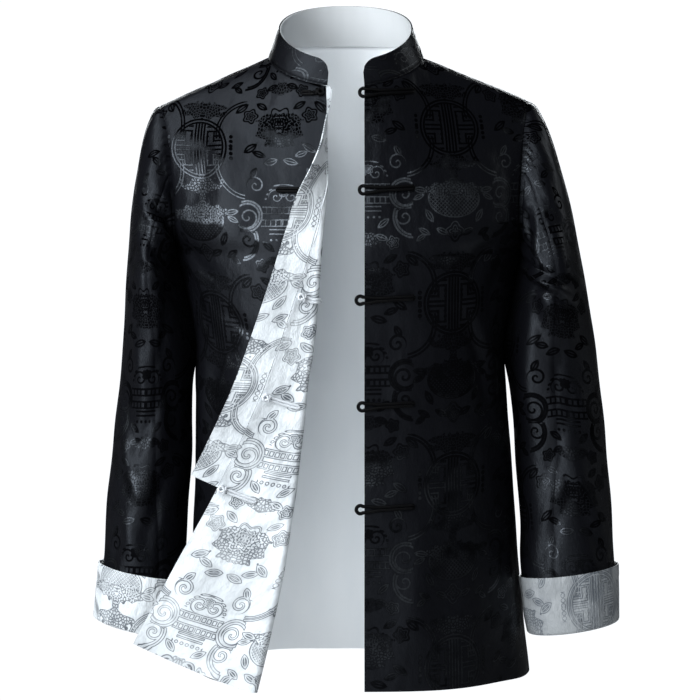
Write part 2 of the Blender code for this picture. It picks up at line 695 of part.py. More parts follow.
# A knot button seen from its head to the end of its tail: distance, width and height.
KNOT = ((0, 1.5, 1.5), (1.2, 7, 4.6), (3.2, 11, 7), (5.4, 11.5, 7.4), (7.6, 8.5, 5.6),
        (9.2, 5, 3.4), (11, 6.6, 3.0), (22, 6.6, 3.0), (34, 6.6, 3.0), (44, 6.2, 3.0), (47, 2, 1.6))


def make_front_knot(index, head_x):
    """A black knot on the right front where it isn't turned."""
    along, wide, high = np.array(KNOT).T
    level = FROG_LEVELS[index - 1]
    centres, normals = on_surface(front_right, -(head_x + along), 0 * along - level,
                                  BODY_COLUMNS - 1, FREE_EDGE, HALF + SEAM + high / 2)
    cord(f"knot_black_{index}", centres, normals, wide, high, 8, "cord_black")


def make_lapel_knot(index, face, word):
    """A knot along the cross grain of the turned front, on its white (-1) or black (1) face."""
    v = row_at(FROG_LEVELS[index - 1])
    columns = np.linspace(FREE_EDGE, BODY_COLUMNS - 3, 400)
    rows = 0 * columns + v
    line = front_right(rows, columns)
    out = normals_of(front_right, *grid(np.array([v - 0.1, v, v + 0.1]), columns), -1)[1] * face
    steps = np.linalg.norm(np.diff(line, axis=0), axis=1)
    travelled = np.concatenate(([0], np.cumsum(steps)))
    base = HALF + 2 * SEAM + (LINING + SEAM if face < 0 else 0)
    knot = np.array(KNOT)
    if index == 3:
        bends = np.arange(19, 44, 2.5)
        knot = np.concatenate((knot[:7], pack(bends, 6.6 + 0 * bends, 3.0 + 0 * bends), knot[9:]))
    centres, normals = [], []
    for along, _, high in knot:
        spot = np.array([np.interp(along + 0.5, travelled, line[:, k]) for k in range(3)])
        normal = unit(np.array([np.interp(along + 0.5, travelled, out[:, k]) for k in range(3)]))
        centres.append(spot + normal * (base + high / 2))
        normals.append(normal)
    cord(f"knot_{word}_{index}", centres, normals, knot[:, 1], knot[:, 2], 8, f"cord_{word}")


def build():
    for old in list(bpy.data.objects):
        bpy.data.objects.remove(old, do_unlink=True)
    make_back()
    make_front_left()
    make_front_right()
    make_lining()
    make_underlap()
    make_collar()
    for side, word in ((LEFT, "left"), (RIGHT, "right")):
        make_sleeve(side, word)
        make_cuff(side, word)
    for index, level in enumerate(FROG_LEVELS, start=1):
        make_loop(index, level)
    make_front_knot(1, 23.5)
    make_front_knot(2, 32.0)
    for index in (3, 4, 5):
        make_lapel_knot(index, -1, "white")
    for index in (4, 5):
        make_lapel_knot(index, 1, "black")


build()
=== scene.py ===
"""Looks of the tang jacket: cloth, brocade, frogs, studio and camera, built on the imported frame.

Sizes and places are in millimetres and become metres where a mesh is made. +Z is up, the front
faces -Y and the wearer's left arm is at +X. The surfaces are the solids' own, worked out from
the same tables and sampled more densely, with the smaller creases added.
"""
import math

import bpy
import numpy as np
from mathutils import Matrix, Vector


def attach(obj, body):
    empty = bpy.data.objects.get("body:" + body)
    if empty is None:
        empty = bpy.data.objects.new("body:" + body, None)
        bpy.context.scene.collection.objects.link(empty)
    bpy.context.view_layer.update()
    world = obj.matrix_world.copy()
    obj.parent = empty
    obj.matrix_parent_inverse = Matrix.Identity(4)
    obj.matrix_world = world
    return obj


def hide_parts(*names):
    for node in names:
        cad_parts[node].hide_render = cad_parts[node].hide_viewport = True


MM = 0.001
LEFT, RIGHT = 1, -1     # the wearer's left is at +X
FRONT, BACK = -1, 1

# Driving dimensions
CLOTH = 1.2             # thickness of a wall of the doubled satin
LINING = 1.0            # thickness of a facing that shows
SEAM = 0.3              # gap between two pieces that are sewn together
FRONT_EDGE = 21.0       # the left front's free edge, from the centre
NECK_WIDTH = 88.5       # half width of the neckline
NECK_DEPTH = 70.0       # half depth of the neckline
NECK_MIDDLE = -5.0      # the neckline's middle, front to back
NECK_FRONT = -40.0      # height of the neckline at the centre front
NECK_CLIMB = 26.0       # how far it climbs from the front to the side, and on to the back
NECK_ARCH = 10.0        # how far it rises over that at the sides
COLLAR_WIDTH = 78.0     # half width of the collar's top edge
COLLAR_DEPTH = 65.0     # half depth of the collar's top edge
COLLAR_CORNER = 15.0    # radius of the collar's two front corners
COLLAR_FRONT = 30.0     # height of the collar's front, before its corners are rounded
COLLAR_GAIN = 8.7       # what it gains from the front to the side, and on to the back
COLLAR_DIP = 3.2        # what it loses again at the sides
COLLAR_LEAN = 32.0      # height at which it has leaned in to the size of its top edge
COLLAR_RISE = 0.96      # how far it rises for each millimetre of its leaning cloth
CUFF_DEPTH = 62.0       # height of a turned-back cuff
SHOULDER = 58.0         # level of a panel's top row
SHOULDER_END = {LEFT: 54.5, RIGHT: 60.0}        # level of each shoulder's outer end
UNDERARM_GAP = 1.4      # room between sleeve and body at the underarm, over the seam's gap
SLEEVE_END = 661.0      # level of the sleeve's end, along its middle
BICEP = 270.0           # level where the sleeve's cap ends
STRIP_END = 517.0       # level of the underlap's lower end, at the fifth frog
ROLL = 12.6             # cloth in the soft roll of the turned front
LIP = 3.0               # cloth beyond the roll where the front isn't turned yet
VENT_LIFT = 11.0        # how far the turned front draws its own side corner up
VENT_ROW = 17.3         # row of a side vent's top
LAID_ROW = 7            # row from which the turned front comes to lie on its own cloth
FACING_ROW = 3          # row where the white facing starts
STRIP_START = 0.35      # row of the underlap's upper end
FROG_LEVELS = (48.0, 157.0, 279.5, 399.5, 515.5)
FROG_BAR = 56.0         # length of a loop's bar on the cloth
FROG_CORD = 3.2         # thickness of a frog's cord

HEM = 721.0             # level of the hem
HEM_ROW = 21            # the row of the hem
ARM_ROW = 10            # the row of the underarm
NECK_SHARE = 0.34       # share of a front's top edge that lies along the neckline
ROUNDING = 2.2          # squareness of the body's sections


class Table:
    """Rows of named sizes, read at any value of the first column along a smooth curve."""

    def __init__(self, names, rows):
        self.columns = dict(zip(names.split(), np.array(rows, float).T))
        self.knots = next(iter(self.columns.values()))

    def at(self, name, value):
        """The named size at a value, held at the ends."""
        knots, sizes = self.knots, self.columns[name]
        spans = np.diff(knots)
        rates = np.diff(sizes) / spans
        slopes = np.zeros(len(knots))
        same = rates[1:] * rates[:-1] > 0
        slopes[1:-1][same] = 2 * rates[1:][same] * rates[:-1][same] / (rates[1:] + rates[:-1])[same]
        slopes[0], slopes[-1] = rates[0], rates[-1]
        value = np.clip(value, knots[0], knots[-1])
        i = np.clip(np.searchsorted(knots, value, side="right") - 1, 0, len(spans) - 1)
        s = (value - knots[i]) / spans[i]
        rise = sizes[i + 1] - sizes[i]
        bend = slopes[i] * spans[i] * s * (1 - s) ** 2 - slopes[i + 1] * spans[i] * (1 - s) * s ** 2
        return sizes[i] + rise * s * s * (3 - 2 * s) + bend


# The body: a row for each level. drop is the level below the origin, right and left the reach of
# the armhole and then of the side seam, seam_f and seam_b its place front to back on the two
# panels, front and back the depth at the centre, full how squarely a section fills its corner.
TORSO = Table("row drop right left seam_f seam_b front back full", (
    (0, 58, 216, 213, 8, 8, -80, 66, 1.0),
    (2, 63, 214, 211, -10, 25, -83, 71, 1.05),
    (4, 89, 208, 207, -26, 40, -93, 84, 1.15),
    (6, 137, 201, 203, -41, 54, -108, 98, 1.3),
    (8, 190, 197, 200, -45, 57, -119, 107, 1.5),
    (9, 213, 196, 201, -29, 40, -123, 109, 1.7),
    (10, 232, 197, 203, 8, 8, -125, 110, 1.9),
    (11, 262, 189, 196, 6, 6, -125, 108, 2.1),
    (13, 345, 175, 184.5, 2, 2, -123, 101, 2.2),
    (15, 440, 175, 191, 0, 0, -123, 99, 2.2),
    (17, 540, 178, 198, 0, 0, -128, 104, 2.2),
    (19, 640, 181, 207, 0, 0, -134, 112, 2.2),
    (21, HEM, 184, 215, 0, 0, -139, 118, 2.2),
))

# The turned front: a row for each level. turn is how far its edge has rolled over, in degrees,
# fold how far towards the wearer's right the roll lies, edge_x, edge_y and edge_drop where the
# free edge then lies, with edge_x counted to the same side, and tilt how steeply the cross grain
# climbs there.
LAPEL = Table("drop turn fold edge_x edge_y edge_drop tilt", (
    (58, 0, 20.5, 22, -122, 162.5, 12),
    (93, 0, 20.5, 22, -122, 162.5, 12),
    (113, 25, 20.5, 22, -122, 162.5, 12),
    (137, 62, 20.5, 22, -122, 162.5, 12),
    (163, 108, 21.5, 22, -122, 162.5, 12),
    (190, 165, 24, 28.8, -128, 188.6, 15),
    (213, 180, 26.8, 35.4, -131, 210.6, 16),
    (279, 180, 31.5, 54.8, -134, 272.5, 18),
    (397, 180, 45.3, 94, -131, 383.3, 22),
    (517, 180, 59.5, 144.4, -122, 490.8, 26),
    (620, 180, 76.5, 194, -110, 582, 27.5),
    (HEM, 180, 99, 241, -100, 670, 28),
))

# The underlap along the right front's edge: how many degrees it stands round from the wearer's
# left, over the front, and its width.
STRIP = Table("drop turn width", (
    (58, 77, 26), (63, 78, 28), (89, 92, 32), (113, 102, 33), (137, 122, 33),
    (163, 152, 33), (190, 170, 33), (215, 180, 33), (520, 180, 33),
))

# The sleeves below the cap: outer and inner reach from the centre, the middle and half depth
# front to back, and the tilt of the section, in degrees, as the arm swings out.
SLEEVE_COLUMNS = "drop outer inner middle depth tilt"
SLEEVES = {
    LEFT: Table(SLEEVE_COLUMNS, (
        (270, 279, 202.5, 0, 80, 0),
        (345, 292, 190, 3, 68, 2),
        (440, 302.5, 197, -2, 58, 4),
        (515, 308, 202, -13, 52, 6),
        (590, 313, 209, -27, 47, 8),
        (667, 316, 217, -38, 43, 9),
    )),
    RIGHT: Table(SLEEVE_COLUMNS, (
        (270, 255.5, 196, 0, 80, 0),
        (345, 261, 180.5, 3, 68, 2),
        (440, 270.5, 180, -2, 60, 5),
        (515, 277.5, 184, -13, 54, 8),
        (590, 283.5, 188, -27, 48, 11),
        (667, 293, 195, -38, 43, 13.5),
    )),
}

# The sleeve's two seams: degrees from its outer line, round the front.
SLEEVE_SEAMS = Table("drop front back", (
    (58, 82, 250), (165, 88, 250), (300, 92, 250), (425, 97, 250), (600, 117, 250), (667, 120, 250),
))

# The largest drape folds. On a panel: its place across (0 edge, 1 side), the level where it
# starts, its depth at the hem (minus stands out to the front) and its width.
DRAPES = {
    (LEFT, FRONT): ((0.30, 430, -5.0, 0.13), (0.58, 400, 5.0, 0.12), (0.80, 380, -4.0, 0.10)),
    (RIGHT, FRONT): ((0.45, 430, -4.0, 0.14), (0.72, 420, 4.0, 0.11)),
    (LEFT, BACK): ((0.32, 420, 5.0, 0.14), (0.62, 380, -5.0, 0.13)),
    (RIGHT, BACK): ((0.28, 420, 5.0, 0.14), (0.60, 390, -5.0, 0.13)),
}

# On a sleeve: level, degrees round from the outer line over the front, slope in degrees of turn
# for each millimetre down, half length, half width in degrees and height (minus is a trough).
SLEEVE_FOLDS = {
    LEFT: ((205, 60, -0.40, 45, 17, -4.0), (265, 105, -0.40, 50, 18, 3.5),
           (345, 60, 0.30, 60, 18, -3.0), (470, 75, -0.25, 70, 18, 3.0)),
    RIGHT: ((215, 60, -0.40, 45, 17, -3.5), (300, 110, -0.40, 50, 18, 3.0),
            (400, 50, 0.25, 60, 18, -3.0), (520, 80, -0.25, 60, 18, 3.0)),
}


def ease(value):
    """A smooth step from 0 to 1."""
    value = np.clip(value, 0.0, 1.0)
    return value * value * (3 - 2 * value)


def travelled(points):
    """Lengths along a line of points, from its first one."""
    return np.concatenate(([0.0], np.cumsum(np.linalg.norm(np.diff(points, axis=0), axis=1))))


def point_at(value, knots, points):
    """Points of a line, read between its knots."""
    return np.stack([np.interp(value, knots, points[:, k]) for k in range(3)], axis=-1)


def pack(x, y, z):
    """Coordinates as an array of points."""
    return np.stack(np.broadcast_arrays(x, y, z), axis=-1)


def unit(vectors):
    """The vectors at length 1."""
    return vectors / np.maximum(np.linalg.norm(vectors, axis=-1, keepdims=True), 1e-9)


# ---- the body's surface

def neckline(side, turn):
    """A point of the neckline; turn goes from the centre front (0) to the centre back (pi)."""
    x = side * NECK_WIDTH * np.sin(turn)
    y = NECK_MIDDLE - NECK_DEPTH * np.cos(turn)
    z = NECK_FRONT + NECK_CLIMB * (1 - np.cos(turn)) + NECK_ARCH * np.sin(turn) ** 2
    return pack(x, y, z)


def section(side, face, v, c, inner):
    """A point of the plain body; c goes from the inner edge (0) to the armhole or side (1)."""
    reach = TORSO.at("right" if side == RIGHT else "left", v)
    start = np.arcsin(inner / reach)
    across = np.sin(start + (math.pi / 2 - start) * c)
    seam = TORSO.at("seam_f" if face == FRONT else "seam_b", v)
    middle = TORSO.at("front" if face == FRONT else "back", v)
    bulge = np.clip(1 - across ** ROUNDING, 0, 1) ** (1 / TORSO.at("full", v))
    return pack(side * reach * across, seam + (middle - seam) * bulge, -TORSO.at("drop", v))


def top_edge(side, face, c, inner):
    """A point of the panel's top edge: along the neckline and then the shoulder seam."""
    first = np.arcsin(inner / NECK_WIDTH)
    along_neck = np.clip(c / NECK_SHARE, 0, 1)
    if face == FRONT:
        turn = first + (math.pi / 2 - first) * along_neck
    else:
        turn = math.pi - (math.pi / 2) * along_neck
    neck = neckline(side, turn)
    along_seam = np.clip((c - NECK_SHARE) / (1 - NECK_SHARE), 0, 1)[..., None]
    neck_point = neckline(side, math.pi / 2)
    reach = TORSO.at("right" if side == RIGHT else "left", 0.0)
    shoulder = pack(side * reach, TORSO.at("seam_f", 0.0), -SHOULDER_END[side])
    return neck + (shoulder - neck_point) * along_seam


def panel(side, face, v, c, inner):
    """A point of the draped body: the plain section, drawn up to the neckline and shoulder."""
    first_inner = inner(0.0)

    def lift(at):
        return top_edge(side, face, at, first_inner) - section(side, face, 0.0, at, first_inner)

    # The top edge's own shape fades out over 4 rows, and a softened one over 9.
    spread = 0.17 * np.sin(math.pi * np.clip(c, 0, 1))
    soft = sum(lift(np.clip(c + step * spread, 0, 1)) for step in (-1, -0.5, 0, 0.5, 1)) / 5
    near = 0.5 * (1 + np.cos(math.pi * np.clip(v / 4, 0, 1)))[..., None]
    far = 0.5 * (1 + np.cos(math.pi * np.clip(v / 9, 0, 1)))[..., None]
    points = section(side, face, v, c, inner(v)) + lift(c) * near + soft * (far - near)
    for place, level, depth, width in DRAPES[side, face]:
        fall = ease((TORSO.at("drop", v) - level) / (HEM - level))
        wave = depth * fall * np.exp(-((c - place) / width) ** 2) * ease((1 - c) * 8)
        points[..., 1] += wave
    return points


def centre_line(v):
    """The back's inner edge, at the centre."""
    return 0.0 * v


def edge_line(v):
    """The left front's free edge."""
    return FRONT_EDGE + 0.0 * v


def vent(v, opening):
    """How much of a panel's width its side edge gives up below the top of the side vent."""
    return 1 - opening * ease((v - VENT_ROW) / (HEM_ROW - VENT_ROW))


def front_left(v, u):
    """u goes from the free edge (0) to the armhole or side (1)."""
    return panel(LEFT, FRONT, v, u * vent(v, 0.02), edge_line)


def back(v, u):
    """u goes from the wearer's right side (-1) to the left (1)."""
    c = np.abs(u) * vent(v, 0.015)
    halves = [panel(side, BACK, v, c, centre_line) for side in (LEFT, RIGHT)]
    return np.where((u >= 0)[..., None], halves[0], halves[1])


def roll_turn(drop):
    """How far the right front's edge has rolled over, in radians and never quite 0."""
    return np.radians(np.maximum(LAPEL.at("turn", drop), 0.05))


def roll_start(v):
    """How far from the centre the right front starts to roll."""
    drop = TORSO.at("drop", v)
    turn = roll_turn(drop)
    early = np.minimum(turn, math.pi / 2)
    return LAPEL.at("fold", drop) + ROLL / turn * np.sin(early) + LIP * np.cos(early)


BODY_COLUMNS, ROLL_COLUMNS, LAPEL_COLUMNS = 10, 6, 8
FREE_EDGE = BODY_COLUMNS + ROLL_COLUMNS + LAPEL_COLUMNS


def front_right(v, u):
    """u goes from the side (0) over the roll (BODY_COLUMNS on) to the free edge (FREE_EDGE).

    The roll is an arc about its start, and the turned part a curve from the arc's end, the root,
    towards a knee and on to the free edge.
    """
    drop = TORSO.at("drop", v)
    c = (1 - np.clip(u / BODY_COLUMNS, 0, 1)) * vent(v, 0.24)
    seam_shade = panel(RIGHT, FRONT, v, c, roll_start)
    seam_shade[..., 2] += VENT_LIFT * ease((v - VENT_ROW) / (HEM_ROW - VENT_ROW)) * ease(c)
    start = panel(RIGHT, FRONT, v, 0 * u, roll_start)
    behind = panel(RIGHT, FRONT, v, 0 * u + 0.03, roll_start)
    along = unit(start - behind)
    out = unit(np.cross(along, (0.0, 0.0, 1.0)))
    turn = roll_turn(drop)[..., None]
    radius = ROLL / turn
    bend = turn * np.clip((u - BODY_COLUMNS) / ROLL_COLUMNS, 0, 1)[..., None]
    rolled = start + along * radius * np.sin(bend) + out * radius * (1 - np.cos(bend))
    root = start + along * radius * np.sin(turn) + out * radius * (1 - np.cos(turn))
    way = along * np.cos(turn) + out * np.sin(turn)
    free = pack(-LAPEL.at("edge_x", drop), LAPEL.at("edge_y", drop), -LAPEL.at("edge_drop", drop))
    laid = ease((v - LAID_ROW) / 2)[..., None]
    free = (root + way * LIP) * (1 - laid) + free * laid
    length = np.linalg.norm(free - root, axis=-1)
    knee = root + way * (length / 2)[..., None]
    climb = free[..., 2] - np.sin(np.radians(LAPEL.at("tilt", drop))) * length / 2 - root[..., 2]
    knee[..., 2] += climb * laid[..., 0]
    g = np.clip((u - BODY_COLUMNS - ROLL_COLUMNS) / LAPEL_COLUMNS, 0, 1)[..., None]
    lapel = root * (1 - g) ** 2 + knee * 2 * g * (1 - g) + free * g ** 2
    body_part = (u <= BODY_COLUMNS)[..., None]
    roll_part = (u <= BODY_COLUMNS + ROLL_COLUMNS)[..., None]
    return np.where(body_part, seam_shade, np.where(roll_part, rolled, lapel))


def row_at(drop):
    """The row whose level is drop."""
    rows = np.linspace(0, HEM_ROW, 2101)
    return np.interp(drop, TORSO.at("drop", rows), rows)


def underlap(v, u):
    """u goes from the right front's edge (0) to the strip's free edge (1)."""
    drop = TORSO.at("drop", v)
    edge = front_right(v, 0 * v + FREE_EDGE)
    before = front_right(v, 0 * v + FREE_EDGE - 0.4)
    turn, tilt = np.radians(STRIP.at("turn", drop)), np.radians(LAPEL.at("tilt", drop))
    standing = pack(np.cos(turn), -np.sin(turn), 0 * turn)
    lying = pack(-np.cos(tilt), -0.12, np.sin(tilt))
    # From level 170 to 260 the strip comes to lie on the turned front.
    laid = ease((drop - 170) / 90)[..., None]
    way = unit(standing * (1 - laid) + lying * laid)
    apart = SEAM + (CLOTH / 2 + 0.3) * np.linalg.norm(np.cross(way, unit(edge - before)), axis=-1)
    reach = apart + u * STRIP.at("width", drop)
    return edge + way * reach[..., None]


# ---- the sleeves' surface

def round_relief(folds, degrees, level, power=2):
    """How far a sleeve stands out for the folds of a table, whose columns SLEEVE_FOLDS names.

    A higher power keeps a fold's height over more of its length.
    """
    total = 0.0 * level
    for middle, place, slope, long, wide, depth in folds:
        off = np.mod(degrees - place - slope * (level - middle) + 180, 360) - 180
        total += depth * np.exp(-(off / wide) ** 2 - ((level - middle) / long) ** power)
    return total


def armhole(side, turn):
    """A point of the armhole; turn goes from the shoulder over the front, in radians."""
    turn = np.mod(turn, 2 * math.pi)
    share = np.where(turn <= math.pi, turn, 2 * math.pi - turn) / math.pi
    rows = np.linspace(0, ARM_ROW, 81)
    halves = []
    for face in (FRONT, BACK):
        points = panel(side, face, rows, 0 * rows + 1.0, edge_line)
        along = travelled(points)
        halves.append(point_at(share, along / along[-1], points))
    ring = np.where((turn <= math.pi)[..., None], halves[0], halves[1])
    ring[..., 0] += side * (SEAM + UNDERARM_GAP * (1 - np.cos(turn)) / 2)
    return ring


def tube(side, drop, turn):
    """A point of the sleeve below its cap."""
    sizes = SLEEVES[side]
    outer, inner = sizes.at("outer", drop), sizes.at("inner", drop)
    tilt = np.radians(sizes.at("tilt", drop))
    across = (outer - inner) / 2 * np.cos(turn)
    x = (outer + inner) / 2 + across * np.cos(tilt)
    y = sizes.at("middle", drop) - sizes.at("depth", drop) * np.sin(turn)
    return pack(side * x, y, -drop + across * np.sin(tilt))


def sleeve(side, w, degrees):
    """A point of the sleeve; w goes over the cap (-1 to 0) and then down to its end (1)."""
    turn = np.radians(degrees)
    drop = BICEP + np.clip(w, 0, 1) * (SLEEVE_END - BICEP)
    below = tube(side, drop, turn)
    first, last = armhole(side, turn), tube(side, BICEP + 0 * turn, turn)
    span = np.linalg.norm(last - first, axis=-1, keepdims=True)
    # The cap leaves the armhole outwards and down, and arrives along the tube below it.
    leave = unit(pack(side * (0.58 + 0.42 * np.cos(turn)), -0.45 * np.sin(turn),
                      -0.45 - 0.25 * (1 - np.cos(turn))))
    arrive = unit(tube(side, BICEP + 6 + 0 * turn, turn) - last)
    t = np.clip(w + 1, 0, 1)[..., None]
    cap = (first * (1 + 2 * t) * (1 - t) ** 2 + last * t * t * (3 - 2 * t)
           + leave * span * 0.42 * t * (1 - t) ** 2 - arrive * span * 0.9 * (1 - t) * t * t)
    points = np.where((w <= 0)[..., None], cap, below)
    centre = (tube(side, drop, 0 * turn) + tube(side, drop, 0 * turn + math.pi)) / 2
    outward = points - centre
    outward[..., 2] = 0
    height = round_relief(SLEEVE_FOLDS[side], degrees, -points[..., 2]) * ease(w * 8 + 8)
    return points + unit(outward) * height[..., None]


# ---- the collar's surface

CORNER_ROUND = NECK_DEPTH * 1.1     # radius of the neckline near the collar's front corners


def collar(arc, up):
    """A point of the stand collar; arc is -pi to pi from the centre back, up 0 to 1."""
    side = np.where(arc < 0, RIGHT, LEFT)
    turn = math.pi - np.abs(arc)
    height = COLLAR_FRONT + COLLAR_GAIN * (1 - np.cos(turn)) - COLLAR_DIP * np.sin(turn) ** 2
    from_end = (turn - np.arcsin(FRONT_EDGE / NECK_WIDTH)) * CORNER_ROUND
    cut = COLLAR_CORNER - np.clip(from_end, 0, COLLAR_CORNER)
    height = height - COLLAR_CORNER + np.sqrt(COLLAR_CORNER ** 2 - cut ** 2)
    lean = up * height / COLLAR_LEAN
    width = NECK_WIDTH + (COLLAR_WIDTH - NECK_WIDTH) * lean
    depth = NECK_DEPTH + (COLLAR_DEPTH - NECK_DEPTH) * lean
    base = neckline(side, turn)
    x = side * width * np.sin(turn)
    y = NECK_MIDDLE - depth * np.cos(turn)
    lowest = CLOTH / 2 + SEAM
    return pack(x, y, base[..., 2] + lowest + (height - lowest) * up * COLLAR_RISE)


def sleeve_degrees(piece, w, share):
    """Where a share of a sleeve piece's width lies, in degrees from the outer line."""
    drop = np.where(w < 0, BICEP + w * (BICEP - SHOULDER), BICEP + w * (SLEEVE_END - BICEP))
    front_seam, back_seam = SLEEVE_SEAMS.at("front", drop), SLEEVE_SEAMS.at("back", drop)
    if piece == "top":
        return back_seam - 360 + share * (front_seam + 360 - back_seam)
    return front_seam + share * (back_seam - front_seam)


def sleeve_normals(side, w, degrees):
    """Outward unit normals of the sleeve."""
    round_arm = sleeve(side, w, degrees + 1) - sleeve(side, w, degrees - 1)
    above, below = (np.clip(w + step, -1, 1) for step in (-0.01, 0.01))
    down = sleeve(side, below, degrees) - sleeve(side, above, degrees)
    return unit(np.cross(unit(down), unit(round_arm))) * -side


def on_surface(surface, x, z, column, last, height):
    """Points of a surface that show at x and z from the front, moved out, with its normals."""
    row, column = row_at(-z), column + 0 * x
    step = 0.01
    for _ in range(8):
        here = surface(row, column)
        by_row = (surface(row + step, column) - here) / step
        by_column = (surface(row, column + step) - here) / step
        miss_x, miss_z = x - here[:, 0], z - here[:, 2]
        size = by_row[:, 0] * by_column[:, 2] - by_column[:, 0] * by_row[:, 2]
        size = np.where(np.abs(size) < 1e-3, np.inf, size)
        move_row = (miss_x * by_column[:, 2] - by_column[:, 0] * miss_z) / size
        move_column = (by_row[:, 0] * miss_z - miss_x * by_row[:, 2]) / size
        row = np.clip(row + np.clip(move_row, -1, 1), 0.05, HEM_ROW - 0.05)
        column = np.clip(column + np.clip(move_column, -0.2 * last, 0.2 * last), 0, last)
    normals = unit(np.cross(by_row, by_column))
    normals = normals * -np.sign(normals[:, 1:2])
    here = surface(row, column)
    here[:, 0], here[:, 2] = x, z
    return here + normals * np.reshape(height, (-1, 1)), normals


def grid(rows, columns):
    """The row and the column at each point of a grid."""
    return np.meshgrid(rows, columns, indexing="ij")


# ---- creases

# Soft troughs and ridges of the body panels, in cloth coordinates: x is the way across from the
# front edge, or from the centre of the back, and z the level. A crease runs from x0, z0 to x1, z1.
# A row holds x0, z0, x1, z1, its depth (minus is a trough), its width and its bow sideways.
CREASES = {
    "front_left": (
        (118, 300, 150, 405, -3.2, 9, 6), (137, 300, 168, 400, 2.2, 11, 6),
        (190, 205, 120, 262, -2.6, 12, -8), (196, 235, 150, 300, -2.2, 11, -6),
        (60, 545, 40, 700, 3.6, 22, 8), (105, 500, 95, 710, -3.2, 20, -6),
        (170, 380, 205, 520, 2.4, 14, -10), (30, 120, 60, 260, -1.4, 22, 5),
        (150, 95, 190, 190, -1.6, 14, 8), (25, 300, 30, 470, -1.3, 16, -4),
        (200, 560, 225, 690, -3.0, 17, 4),
    ),
    "front_right": (
        (205, 215, 150, 262, -3.4, 12, 8), (212, 250, 170, 330, -3.0, 11, 6),
        (60, 120, 120, 250, -3.0, 20, -8), (150, 100, 178, 190, -2.6, 14, -6),
        (140, 330, 190, 450, -3.2, 14, 8), (190, 340, 215, 480, 3.0, 14, -6),
        (118, 60, 128, 180, 3.6, 18, 4), (100, 330, 150, 300, -2.4, 9, 3),
    ),
    "lapel": (
        (8, 180, 45, 300, -3.0, 5, 3), (28, 262, 75, 292, -3.2, 6, -3),
        (60, 395, 22, 380, -2.4, 6, 2), (95, 520, 60, 560, -3.2, 9, 3),
        (40, 430, 70, 520, 3.0, 12, -6), (80, 600, 95, 700, -4.6, 14, 5),
        (20, 560, 45, 700, 4.0, 16, -5), (110, 480, 100, 600, -3.6, 12, 4),
        (30, 340, 60, 360, -2.2, 5, 1), (125, 610, 140, 700, 3.8, 12, 0),
        (70, 340, 92, 470, -2.6, 8, 4), (15, 470, 80, 500, -2.2, 6, 3),
    ),
    "back": (
        (-205, 220, -130, 290, -3.2, 14, 8), (205, 220, 130, 290, -3.2, 14, -8),
        (-190, 250, -150, 360, 2.4, 14, 6), (190, 250, 150, 360, 2.4, 14, -6),
        (-60, 330, 70, 352, -2.2, 15, 6), (-90, 380, 20, 402, -1.8, 14, -5),
        (-150, 120, -170, 230, -1.8, 15, -5), (150, 120, 170, 230, -1.8, 15, 5),
        (-40, 60, -20, 200, -1.2, 22, 4), (50, 70, 35, 210, -1.2, 22, -4),
        (-120, 500, -135, 700, -3.4, 22, -8), (10, 480, 0, 700, 3.0, 26, 6),
        (125, 520, 140, 700, -3.4, 22, 8), (-210, 430, -190, 640, 2.6, 17, 5),
        (205, 430, 190, 640, 2.6, 17, -5),
    ),
}


def relief(creases, x, z):
    """How far the cloth stands out at x and z for the creases of a table."""
    total = 0.0 * x
    for x0, z0, x1, z1, depth, width, bow in creases:
        length = math.hypot(x1 - x0, z1 - z0)
        way_x, way_z = (x1 - x0) / length, (z1 - z0) / length
        along = (x - x0) * way_x + (z - z0) * way_z
        share = np.clip(along / length, 0, 1)
        off = (x - x0) * way_z - (z - z0) * way_x - bow * np.sin(math.pi * share)
        past = along - share * length
        swell = 0.3 + 0.7 * np.sin(math.pi * share)
        total += depth * swell * np.exp(-(off / width) ** 2 - (past / (1.6 * width)) ** 2)
    return total


def unevenness(x, z, size):
    """Small rises and dips that no flat cut of cloth is free of."""
    waves = (
        np.sin(x / 31 + 1.3 * np.sin(z / 57 + 0.4) + 0.7)
        * np.sin(z / 43 + 1.1 * np.sin(x / 47) + 1.9)
        + 0.6 * np.sin(x / 17 + z / 29 + 2.2 * np.sin(z / 71) + 0.2)
        + 0.5 * np.sin(z / 13.7 - x / 24 + 1.6 * np.sin(x / 39 + 1.0))
    )
    return size * waves


# ---- shells of cloth

STEP = 3.2              # spacing of a shell's points
HALF = CLOTH / 2
GROOVE = 1.4            # how far the cloth turns in along a seam
GROOVE_WIDTH = 2.8
SLEEVE_GROOVE = 0.8     # the same along a sleeve's own seams
FACING_ROLL = 3.2       # how far the white facing hangs past the hem
TUCK = 4.5              # how far the sleeve's edge reaches under the body's
ALLOWANCE_ROWS = 6      # rows of a sleeve's seam allowance, black inside too
WHITE_HEM_COLUMNS = 44  # columns of the turned front's hem whose rim is white
SHARP = 50              # degrees between two faces that meet in a sharp edge
WIDTH_ROW = 12.0        # row along which a panel's columns are spaced
MEASURED_ROW = 8.0      # row from which lengths down the cloth are counted
UNEVEN = 0.45           # height of the small rises and dips on the body


def even(path, low, high):
    """Values from low to high at which the path's points lie a step apart."""
    values = np.linspace(low, high, 500)
    along = travelled(path(values))
    return np.interp(np.linspace(0, along[-1], int(along[-1] / STEP) + 2), along, values)


def lengths(points, axis, start):
    """Lengths along the rows (axis 1) or columns (axis 0) of a grid, counted from one of them."""
    steps = np.linalg.norm(np.diff(points, axis=axis), axis=-1)
    total = np.insert(np.cumsum(steps, axis=axis), 0, 0.0, axis=axis)
    return total - np.take(total, [start], axis=axis)


def levels(points, v):
    """Lengths down a panel's columns, which are its levels at the measured row."""
    start = int(np.abs(v - MEASURED_ROW).argmin())
    return lengths(points, 0, start) + TORSO.at("drop", MEASURED_ROW)


